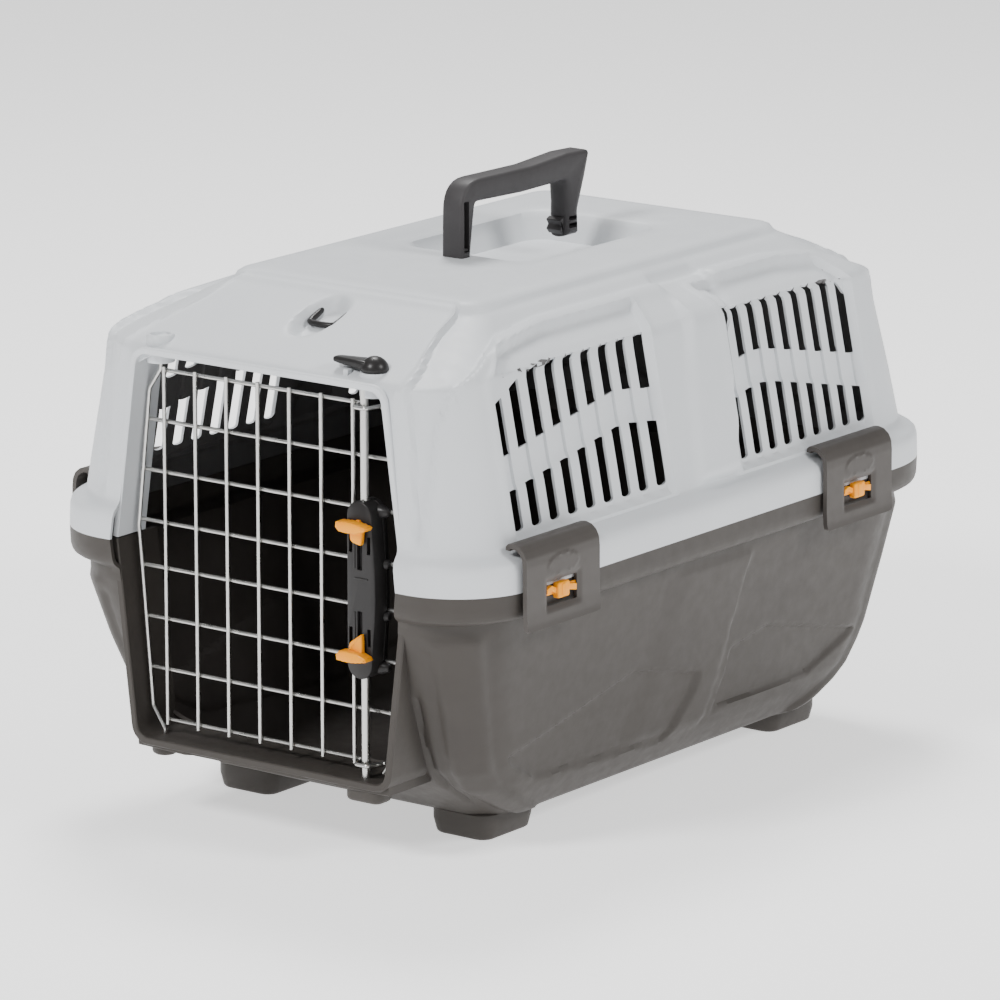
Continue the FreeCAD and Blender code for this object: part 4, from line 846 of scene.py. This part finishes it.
def block(centre, halves, radius, axis, stations):
    """A rounded block: stations are (place along the axis, how far the outline is drawn in)."""
    first, second, third = AXES[axis]
    rings = []
    for place, inset in stations:
        corner = max(radius - max(inset, 0.0), 0.3)
        flat = rounded_rectangle(halves[0] - inset, halves[1] - inset, corner)
        ring = np.zeros((len(flat), 3))
        ring[:, first] = centre[0] + flat[:, 0]
        ring[:, second] = centre[1] + flat[:, 1]
        ring[:, third] = place
        rings.append(ring)
    return ring_stack(rings)


def soft_ends(low, high, soft):
    """Stations from low to high whose ends are rounded by the given amount."""
    angle = np.radians([0, 30, 60, 90])
    rise = [(low + soft * (1 - math.cos(a)), soft * (1 - math.sin(a))) for a in angle]
    return rise + [(high - soft * (1 - math.cos(a)), soft * (1 - math.sin(a))) for a in angle[::-1]]


# %% Sill plate, sockets and feet
edge_wave = np.array([(-103, -262), (-62, -264.5), (-58, -262.2), (-36, -262.2), (-32, -264.5),
                      (34, -264.5), (38, -262.2), (60, -262.2), (64, -264.5), (103, -262),
                      (103, -218), (-103, -218)], dtype=float)
sill_rings = [np.column_stack([edge_wave + [0, inset], np.full(len(edge_wave), z)])
              for z, inset in ((50.5, 1.0), (51.2, 0.2), (56.8, 0.0), (57.5, 0.8))]
PIVOT_X, BOLT_X, KNOB_X = -90.0, 80.0, 82.5
DOOR_Y, KNOB_Y = -250.0, -248.0
sockets = [block((PIVOT_X, DOOR_Y), (8.6, 8.6), 8.6, "z", [(44.5, 2.0), (45.4, 0.6), (47, 0), (52, 0)]),
           block((BOLT_X, DOOR_Y - 2.5), (14.0, 9.0), 6.0, "z",
                 [(42.5, 2.0), (43.4, 0.6), (45, 0), (52, 0)])]
make_piece("tray_sill", [ring_stack(sill_rings)] + sockets, "base", tray_finish, edge=0.3)

FOOT_HALF, FOOT_RUN = 26.0, 30.0
FOOT_X, FOOT_MIDDLES = 89.0, (-144.0, 182.0)
feet = []
for side in (-1, 1):
    for middle in FOOT_MIDDLES:
        feet.append(block((side * FOOT_X, middle), (FOOT_HALF, FOOT_RUN), 13.0, "z",
                          [(0, 5.4), (0.8, 4.2), (2.2, 3.6), (10, 1.6), (17, 1.6), (22, 6.0)]))
make_piece("tray_feet", feet, "base", tray_finish, edge=0.4)

# %% [markdown]
# ## Carrying handle
# The handle is one thick moulding. Its side view is an outline of a few points with rounded
# corners, and it is 17 mm wide. Each point of the outline is drawn in towards the side faces by its
# own radius: small along the grip, large on the rear leg, which is nearly round.

# %% Outlines with rounded corners
def round_corners(corners, steps=6):
    """A closed outline from (across, up, radius) corners, each replaced by an arc of its radius."""
    corners = np.array(corners, dtype=float)
    points = []
    for before, here, after in zip(np.roll(corners, 1, axis=0), corners, np.roll(corners, -1, axis=0)):
        into, out = before[:2] - here[:2], after[:2] - here[:2]
        into, out = into / np.linalg.norm(into), out / np.linalg.norm(out)
        half_turn = math.acos(np.clip(np.dot(into, out), -1, 1)) / 2
        if here[2] < 0.05:
            points.append(here[:2][None, :])
            continue
        reach = here[2] / math.tan(half_turn)
        start, finish = here[:2] + into * reach, here[:2] + out * reach
        share = np.linspace(0, 1, steps)[:, None]
        bend = (1 - share) ** 2 * start + 2 * share * (1 - share) * here[:2] + share ** 2 * finish
        points.append(bend)
    return np.concatenate(points)


def outline_inward(outline):
    """Inward unit directions at each point of a closed outline that runs anticlockwise."""
    step = np.roll(outline, -1, axis=0) - outline
    step /= np.maximum(np.linalg.norm(step, axis=1, keepdims=True), 1e-9)
    side = np.stack([-step[:, 1], step[:, 0]], axis=1)
    total = side + np.roll(side, 1, axis=0)
    return total / np.maximum(np.linalg.norm(total, axis=1, keepdims=True), 1e-9)


def slab(outline, axis, low, high, radius, turns=4):
    """A flat outline as a solid between two places on an axis, its edges rounded by a radius."""
    outline = np.asarray(outline, float)
    area = np.sum(outline[:, 0] * np.roll(outline[:, 1], -1)
                  - outline[:, 1] * np.roll(outline[:, 0], -1))
    if area < 0:
        outline = outline[::-1]
        radius = radius[::-1] if np.ndim(radius) else radius
    inward = outline_inward(outline)
    radius = np.broadcast_to(radius, len(outline)).astype(float)
    first, second, third = AXES[axis]
    rings = []
    angles = np.radians(np.linspace(0, 90, turns))
    for end, sign in ((low, 1.0), (high, -1.0)):
        for angle in angles if sign > 0 else angles[::-1]:
            flat = outline + inward * (radius * (1 - math.sin(angle)))[:, None]
            ring = np.zeros((len(outline), 3))
            ring[:, first], ring[:, second] = flat[:, 0], flat[:, 1]
            ring[:, third] = end + sign * radius * (1 - math.cos(angle))
            rings.append(ring)
    return ring_stack(rings)


# %% The handle
handle_low, handle_high = box_mm("handle")
HANDLE_SIDE = [(-58.6, 349, 0), (-49.6, 349, 0), (-45.5, 376, 4), (-43.5, 389.2, 4.5), (8, 387.6, 40),
               (58.2, 388.4, 4.5), (58.0, 372, 6), (58.4, 349, 0), (73.8, 349, 0), (74.2, 366, 8),
               (79.5, 387, 16), (84.0, 405.6, 3.0), (60, 406.4, 30), (20, 403.6, 60),
               (-58.8, 404.4, 21)]
handle_line = round_corners(HANDLE_SIDE, steps=8)
leg_share = ease(handle_line[:, 0], 52, 60) * (1 - ease(handle_line[:, 1], 372, 396))
handle_radius = 2.6 + 5.0 * leg_share
channel = block((-53.6, 374), (2.6, 17.0), 1.0, "x", [(3.5, 0), (9.5, 0)])
leg_windows = [block((66.0, 361.6), (4.6, 1.5), 0.8, "x", [(2.0, 0), (9.5, 0)]),
               block((66.0, 356.6), (4.6, 1.7), 0.8, "x", [(2.0, 0), (9.5, 0)])]
make_piece("carry_handle", [slab(handle_line, "x", handle_low[0], handle_high[0], handle_radius)],
           "top", handle_finish, replaced=["handle"], edge=0.25, cutters=[channel] + leg_windows)
barb = round_corners([(57.6, 363, 0.6), (57.0, 351, 0.3), (53.8, 354.5, 0.6), (56.0, 357.5, 0.5),
                      (53.6, 361.0, 0.6)])
rib_block = block((-53.6, 358.6), (2.9, 0.7), 0.3, "x", [(3.0, 0), (7.6, 0)])
make_piece("handle_leg_barbs", [slab(barb, "x", -6.0, 6.0, 0.5), rib_block], "top", handle_finish)

# %% [markdown]
# ## Door bosses, strap loop and lock knob
# Round parts are turned: a profile of radius and height is carried round an axis.

# %% Turned parts
def turned(profile, centre, axis="z", steps=40):
    """A profile of (radius, place along the axis) carried round the axis through centre."""
    first, second, third = AXES[axis]
    profile = np.asarray(profile, float)
    angle = np.linspace(0, 2 * math.pi, steps, endpoint=False)
    rings = np.zeros((len(profile), steps, 3))
    rings[..., first] = centre[0] + profile[:, :1] * np.cos(angle)
    rings[..., second] = centre[1] + profile[:, :1] * np.sin(angle)
    rings[..., third] = profile[:, 1:]
    return rings.reshape(-1, 3), grid_faces(len(profile), steps, True).reshape(-1, 4).tolist()


def tube(path, radius, steps=14):
    """A round bar along a path: each ring stands square to the path, its first axis kept level."""
    path = np.asarray(path, float)
    along = np.gradient(path, axis=0)
    along /= np.linalg.norm(along, axis=1, keepdims=True)
    level = np.cross(along, (0.13, -0.37, 0.92))
    level /= np.linalg.norm(level, axis=1, keepdims=True)
    other = np.cross(along, level)
    angle = np.linspace(0, 2 * math.pi, steps, endpoint=False)
    rings = (path[:, None] + radius * (np.cos(angle)[None, :, None] * level[:, None]
                                       + np.sin(angle)[None, :, None] * other[:, None]))
    return ring_stack(rings)


PIVOT_BOSS = [(0, 306), (9.2, 306), (9.4, 321.5), (9.0, 323.6), (8.2, 324.4), (6.8, 324.4),
              (6.3, 323.8), (6.0, 320.4), (2.4, 320.2), (2.2, 322.4), (0, 322.6)]
KNOB_BOSS = [(0, 306), (9.6, 306), (9.6, 320.2), (9.0, 321.6), (0, 321.6)]
stop_block = block((66.0, -254.4), (1.9, 2.6), 0.6, "z", soft_ends(312, 322.4, 0.7))
make_piece("door_bosses", [turned(PIVOT_BOSS, (PIVOT_X, DOOR_Y)), turned(KNOB_BOSS, (KNOB_X, KNOB_Y)),
                           stop_block], "top", shell_finish, edge=0.3)

dome_angle = np.radians(np.linspace(0, 90, 10))
dome = np.column_stack([9.3 * np.cos(dome_angle), 322.8 + 8.8 * np.sin(dome_angle)])
lever_rings = []
for place, half_wide, low, high in ((88.0, 4.4, 323.0, 327.0), (80.0, 7.6, 322.4, 328.6),
                                    (72.0, 6.2, 322.8, 328.9), (64.0, 4.9, 323.6, 328.9),
                                    (56.0, 4.1, 324.6, 328.8), (53.4, 3.6, 325.0, 328.5),
                                    (52.6, 2.6, 325.8, 327.8)):
    ring = rounded_rectangle(half_wide, (high - low) / 2, 2.0)
    lever_rings.append(np.column_stack([np.full(len(ring), place),
                                        KNOB_Y - 1.5 * (88 - place) / 36 + ring[:, 0],
                                        (high + low) / 2 + ring[:, 1]]))
make_piece("lock_knob_lever",
           [turned(np.vstack([[(0, 322.0), (8.8, 322.0)], dome]), (KNOB_X, KNOB_Y)),
            ring_stack(lever_rings)],
           "lock_knob", latch_finish, replaced=["door_lock_knob"], edge=0.2)

strap_path = [(-15.5, -180, 338), (-12.6, -180, 338), (-11.4, -181.2, 337.6), (-11, -184, 336.6),
              (-10.6, -192, 333.6), (-10, -196, 332.2), (-7.5, -197.6, 331.8), (0, -198, 331.6),
              (7.5, -197.6, 331.8), (10, -196, 332.2), (10.6, -192, 333.6), (11, -184, 336.6),
              (11.4, -181.2, 337.6), (12.6, -180, 338), (15.5, -180, 338)]
make_piece("strap_bar", [tube(np.array(strap_path) + [0, 0, 1.0], 2.1)], "strap_loop", latch_finish,
           replaced=["front_strap_loop"])

# %% [markdown]
# ## Side clips and their catches
# A clip is an L of thick sheet with a large fold. It is a grid: one direction runs down the L's
# profile, the other along the carrier. A plain oval and a shield line are raised on it, and the
# window's edges are bevelled.

# %% Clip surface
CLIP_PROFILE = np.array([(169.4, 214.8), (169.6, 217.4), (171.2, 219.0), (175.0, 219.3),
                         (179.4, 218.2), (183.2, 215.2), (185.4, 210.8), (186.0, 205.0),
                         (186.1, 190.0), (186.2, 176.0), (186.8, 167.0), (187.6, 163.0)])
clip_run = np.concatenate([[0], np.cumsum(np.linalg.norm(np.diff(CLIP_PROFILE, axis=0), axis=1))])
WINDOW_LOW, WINDOW_HIGH = 175.5, 191.5
down_window = [np.interp(-z, -CLIP_PROFILE[7:, 1], clip_run[7:]) for z in (WINDOW_HIGH, WINDOW_LOW)]
clip_down = spread([0, 34, down_window[0], down_window[1], clip_run[-1]], [26, 6, 8, 8])
HALF_CLIP, HALF_WINDOW = 39.0, 16.0
clip_along = spread([-HALF_CLIP, -HALF_WINDOW, HALF_WINDOW, HALF_CLIP], [18, 20, 18])


def clip_surface():
    """Points of the clip's outer face at rest on the right side, middle at y = 0, and its faces."""
    down, along = np.meshgrid(clip_down, clip_along, indexing="ij")
    x = np.interp(down, clip_run, CLIP_PROFILE[:, 0])
    z = np.interp(down, clip_run, CLIP_PROFILE[:, 1])
    left = clip_run[-1] - down
    for from_end, corner in ((left, 3.0), (down, 9.0)):
        reach = np.clip(corner - from_end, 0, corner)
        draw = corner - np.sqrt(corner ** 2 - reach ** 2)
        along = along * (1 - draw / HALF_CLIP * np.where(corner > 5, along > 0, 1))
    points = np.stack([x, along, z], axis=-1)
    normal = -grid_normals(points, round_columns=False)
    oval = np.hypot(along / 15.5, (z - 201.5) / 6.4)
    relief = 0.7 * dip(oval, 1.0, 0.11) + 0.35 * (1 - ease(oval, 0.86, 0.96))
    shield = polygon_depth(along, z, ((-28, 207), (-17, 195), (17, 195), (28, 207), (24, 211),
                                      (-24, 211)))
    relief += 0.5 * dip(-shield, 0.0, 1.3)
    beside = np.maximum(np.abs(along) - HALF_WINDOW, np.maximum(WINDOW_LOW - z, z - WINDOW_HIGH))
    relief -= 1.5 * (1 - ease(beside, 0.0, 3.6))
    cells = grid_faces(*down.shape)
    open_cell = np.zeros(cells.shape[:2], dtype=bool)
    open_cell[32:40, 18:38] = True
    return points + normal * relief[..., None], cells[~open_cell]


clip_points, clip_cells = clip_surface()
clip_outward = np.cross(clip_points[20, 21] - clip_points[20, 20],
                        clip_points[21, 20] - clip_points[20, 20])
if clip_outward[0] < 0:
    clip_cells = clip_cells[:, ::-1]
CLIP_PLACES = {"front": -188.0, "rear": 147.5}
for end, middle in CLIP_PLACES.items():
    for side, sign in (("right", 1.0), ("left", -1.0)):
        placed = clip_points * [sign, 1, 1] + [0, middle, 0]
        cells = clip_cells if sign > 0 else clip_cells[:, ::-1]
        name = "%s_%s" % (end, side)
        make_piece("side_clip_" + name, [(placed, cells.tolist())], "clip_" + name, clip_finish,
                   replaced=["clip_" + name], wall=3.2, edge=0.3, solid=False)
        grip = slab(rounded_rectangle(6.2, 5.2, 1.6), "x", 181.8, 186.6, 1.0)
        dimple_low = slab(rounded_rectangle(2.6, 4.2, 1.2), "x", 186.2, 187.0, 0.4)
        arms = [slab(round_corners([(6, -1.6, 0.5), (15.5, -3.8, 0.6), (15.5, 0.8, 0.6), (6, 2.4, 0.5)]),
                     "x", 182.2, 185.2, 0.5),
                slab(round_corners([(-6, -2.0, 0.5), (-6, 2.0, 0.5), (-11, 4.2, 0.6), (-16, 2.6, 0.6),
                                    (-16, -0.6, 0.6), (-11, 0.4, 0.6)]), "x", 182.2, 185.2, 0.5),
                slab(rounded_rectangle(22.5, 2.2, 0.8), "x", 182.0, 183.4, 0.4)]
        parts = [((np.asarray(points) * [sign, 1, 1] + [0, middle, 184.2]), faces)
                 for points, faces in [grip, dimple_low] + arms]
        make_piece("catch_slider_" + name, parts, "catch_" + name, yellow_finish,
                   replaced=["catch_" + name], edge=0.2)

# %% [markdown]
# ## The latch on the door
# The housing is a dark two-part box clamped on the cross wires. Its front view is an outline with
# round ends and a right side that swells at half height, so the thumb and finger find it.

# %% Latch housing
housing_low, housing_high = box_mm("latch_housing_front")
rear_high = box_mm("latch_housing_rear")[1]
LATCH_X = (housing_low[0] + housing_high[0]) / 2
HOUSING_Z = (housing_low[2], housing_high[2])


def housing_outline(swell, steps=40):
    """Front view of the housing: straight left side, swelling right side and round ends."""
    middle, half = sum(HOUSING_Z) / 2, (HOUSING_Z[1] - HOUSING_Z[0]) / 2
    up = np.sin(np.radians(np.linspace(-90, 90, steps))) * half
    end = np.sqrt(np.clip(1 - ((np.abs(up) - half + 9.8) / 9.8).clip(0, 1) ** 2, 0, 1))
    right = (9.8 + swell * np.cos(up / half * math.pi / 2) ** 2) * end
    left = -9.8 * end
    return np.concatenate([np.column_stack([LATCH_X + right, middle + up]),
                           np.column_stack([LATCH_X + left, middle + up])[::-1][1:-1]])


def housing_shell(stations):
    """A solid of the housing's outline; stations are (depth, swell, how far it is drawn in)."""
    rings = []
    for depth, swell, inset in stations:
        line = housing_outline(swell)
        line = line + outline_inward(line) * inset
        rings.append(np.column_stack([line[:, 0], np.full(len(line), depth), line[:, 1]]))
    return ring_stack(rings)


FACE = housing_low[1]
front_shell = housing_shell([(FACE, 2.4, 1.0), (FACE + 0.35, 2.6, 0.3), (FACE + 1.1, 2.8, 0.0),
                             (-254.0, 3.6, 0.0), (-250.3, 3.6, 0.0)])
SLOT_CUT = [(-263, 0), (-258.6, 0)]
slots = []
for middle_z, toward in ((207.5, 1), (156.5, -1)):
    slots.append(block((LATCH_X + 0.6, middle_z), (1.9, 12.0), 0.8, "y", SLOT_CUT))
    for across in (-6.6, 7.8):
        slots.append(block((LATCH_X + across, middle_z + toward * 4.5), (1.25, 5.6), 0.5, "y",
                           SLOT_CUT))
make_piece("latch_front_shell", [front_shell], "door", latch_finish,
           replaced=["latch_housing_front"], edge=0.3, cutters=slots)

RIB_DEPTHS = soft_ends(FACE - 0.55, FACE + 0.5, 0.3)
trim = [block((LATCH_X - 3.4, (low_z + high_z) / 2), (0.6, (high_z - low_z) / 2), 0.5, "y", RIB_DEPTHS)
        for low_z, high_z in ((196, 214), (138, 168))]
trim.append(block((LATCH_X + 1.8, 190.0), (5.4, 0.6), 0.5, "y", RIB_DEPTHS))
make_piece("latch_face_ribs", trim, "door", latch_finish)

rear_cover = housing_shell([(-250.0, 3.4, 0.0), (-246.2, 2.8, 0.0), (-245.2, 2.2, 0.5),
                            (rear_high[1], 1.8, 1.4)])
wires_high = box_mm("door_horizontal_wires")[1]
WIRE_RADIUS, CROSS_PITCH = 1.35, 33.8
cross_levels = [wires_high[2] - WIRE_RADIUS - CROSS_PITCH * step for step in (2, 3, 4, 5)]
CROSS_Y = -247.6
fairings = [turned([(0, 82), (5.0, 84), (4.4, 90), (2.6, 94.6), (1.9, 95.4), (0, 95.4)],
                   (CROSS_Y - 2.2, level), "x", 20) for level in cross_levels]
make_piece("latch_rear_cover", [rear_cover] + fairings, "door", latch_finish,
           replaced=["latch_housing_rear"], edge=0.3)

# %% [markdown]
# The thumb tabs are squeezed together between finger and thumb. Each is a yellow wing with a
# grooved outer edge, and a fin that guides it in its slot.

# %% Thumb tabs
def tab_wing(centre_z, up):
    """A drooping wing with small grip waves on its outer edge; up is 1 for the upper tab."""
    share = np.linspace(0, 1, 30)
    outer = np.column_stack([-11.8 + 23.6 * share,
                             2.6 - 1.6 * share + 1.2 * np.sin(share * math.pi)
                             + 0.38 * np.abs(np.sin(share * math.pi * 7)) - 0.3])
    inner = np.array([(12.2, 0.4), (11.0, -1.6), (4.0, -4.0), (-4.0, -4.4), (-9.6, -3.8), (-12.2, -1.2)])
    line = np.concatenate([outer, inner])
    return np.column_stack([LATCH_X + line[:, 0], centre_z + up * line[:, 1]])


tab_places = {"upper": (224.8, 1.0), "lower": (139.4, -1.0)}
for name, (centre_z, up) in tab_places.items():
    wing = slab(tab_wing(centre_z, up), "y", -271.4, -262.5, 1.3)
    if up > 0:
        fin = round_corners([(-4.2, -2, 0.4), (-3.4, -10.5, 3.4), (5.2, -12.4, 1.6), (6.2, -2, 0.4)])
    else:
        fin = round_corners([(-5.6, -2, 0.4), (-4.6, -9.0, 5.0), (5.2, -16.0, 0.8), (5.6, -2, 0.4)])
    fin_line = np.column_stack([LATCH_X + fin[:, 0], centre_z + up * fin[:, 1]])
    stem = block((LATCH_X + 0.4, centre_z), (1.7, 3.4), 0.8, "y", [(-263.5, 0), (-258.4, 0)])
    make_piece("thumb_tab_" + name, [wing, slab(fin_line, "y", -266.8, -262.9, 1.0), stem],
               name + "_bolt", yellow_finish, replaced=[name + "_thumb_tab"], edge=0.15)

# %% [markdown]
# ## Finishes of the CAD pieces that stay
# The wires, bolts, springs and screws already have their true shape, so they only get their metal.

# %% CAD pieces
FINISHES = {"shell_plastic": shell_finish, "tray_plastic": tray_finish, "dark_plastic": latch_finish,
            "yellow_plastic": yellow_finish, "zinc_wire": zinc_finish,
            "spring_steel": spring_finish, "steel_screw": screw_finish}
for row in frame["record"]["subparts"]:
    mesh = frame["nodes"][row["node"]].data
    mesh.materials.clear()
    mesh.materials.append(FINISHES[row["material_slot"]])

# %% [markdown]
# ## Floor, camera and light
# The carrier stands on wide white paper in front of a white background. A soft lamp from the front
# models the relief, and weaker ones from the top and the side keep the long side readable.

# %% Camera
def aim(thing, place, target):
    """Puts a lamp or camera at place and turns its -Z axis towards target."""
    thing.location = place
    thing.rotation_euler = (Vector(target) - Vector(place)).to_track_quat("-Z", "Y").to_euler()


AZIMUTH, ELEVATION, DISTANCE = math.radians(36.721), math.radians(13.587), 4.4931
back = np.array([math.sin(AZIMUTH) * math.cos(ELEVATION), -math.cos(AZIMUTH) * math.cos(ELEVATION),
                 math.sin(ELEVATION)])
right = np.array([math.cos(AZIMUTH), math.sin(AZIMUTH), 0.0])
up = np.cross(back, right)
look_at = np.array([0, 0, 0.175]) - 0.003423 * right + 0.003548 * up
camera_data = bpy.data.cameras.new("camera")
camera_data.lens = 241.75
camera_data.sensor_width = 36.0
camera = bpy.data.objects.new("camera", camera_data)
bpy.context.scene.collection.objects.link(camera)
aim(camera, tuple(look_at + back * DISTANCE), tuple(look_at))
bpy.context.scene.camera = camera

# %% Paper floor and background
floor_mesh = bpy.data.meshes.new("floor")
floor_mesh.from_pydata([(-9, -9, 0), (9, -9, 0), (9, 9, 0), (-9, 9, 0)], [], [(0, 1, 2, 3)])
floor = bpy.data.objects.new("floor", floor_mesh)
bpy.context.scene.collection.objects.link(floor)
paper, _, paper_shader = new_material("white_paper")
paper_shader.inputs["Base Color"].default_value = (0.9, 0.9, 0.9, 1)
paper_shader.inputs["Roughness"].default_value = 0.9
paper_shader.inputs["Emission Color"].default_value = (1, 1, 1, 1)
paper_shader.inputs["Emission Strength"].default_value = 0.9
floor_mesh.materials.append(paper)

world = bpy.data.worlds.new("studio")
bpy.context.scene.world = world
world.use_nodes = True
sky = world.node_tree
sky.nodes["Background"].inputs["Color"].default_value = (1, 1, 1, 1)
sky.nodes["Background"].inputs["Strength"].default_value = 0.28


# %% Soft lamps
def softbox(name, place, size, power):
    """A square area lamp that points at the carrier."""
    data = bpy.data.lights.new(name, "AREA")
    data.shape = "SQUARE"
    data.size = size
    data.energy = power
    lamp = bpy.data.objects.new(name, data)
    bpy.context.scene.collection.objects.link(lamp)
    aim(lamp, place, (0, 0, 0.2))


softbox("key", (-0.3, -2.7, 2.4), 0.7, 86)
softbox("top", (-0.9, 1.0, 2.6), 0.8, 66)
softbox("side", (2.6, 0.2, 1.9), 0.7, 46)
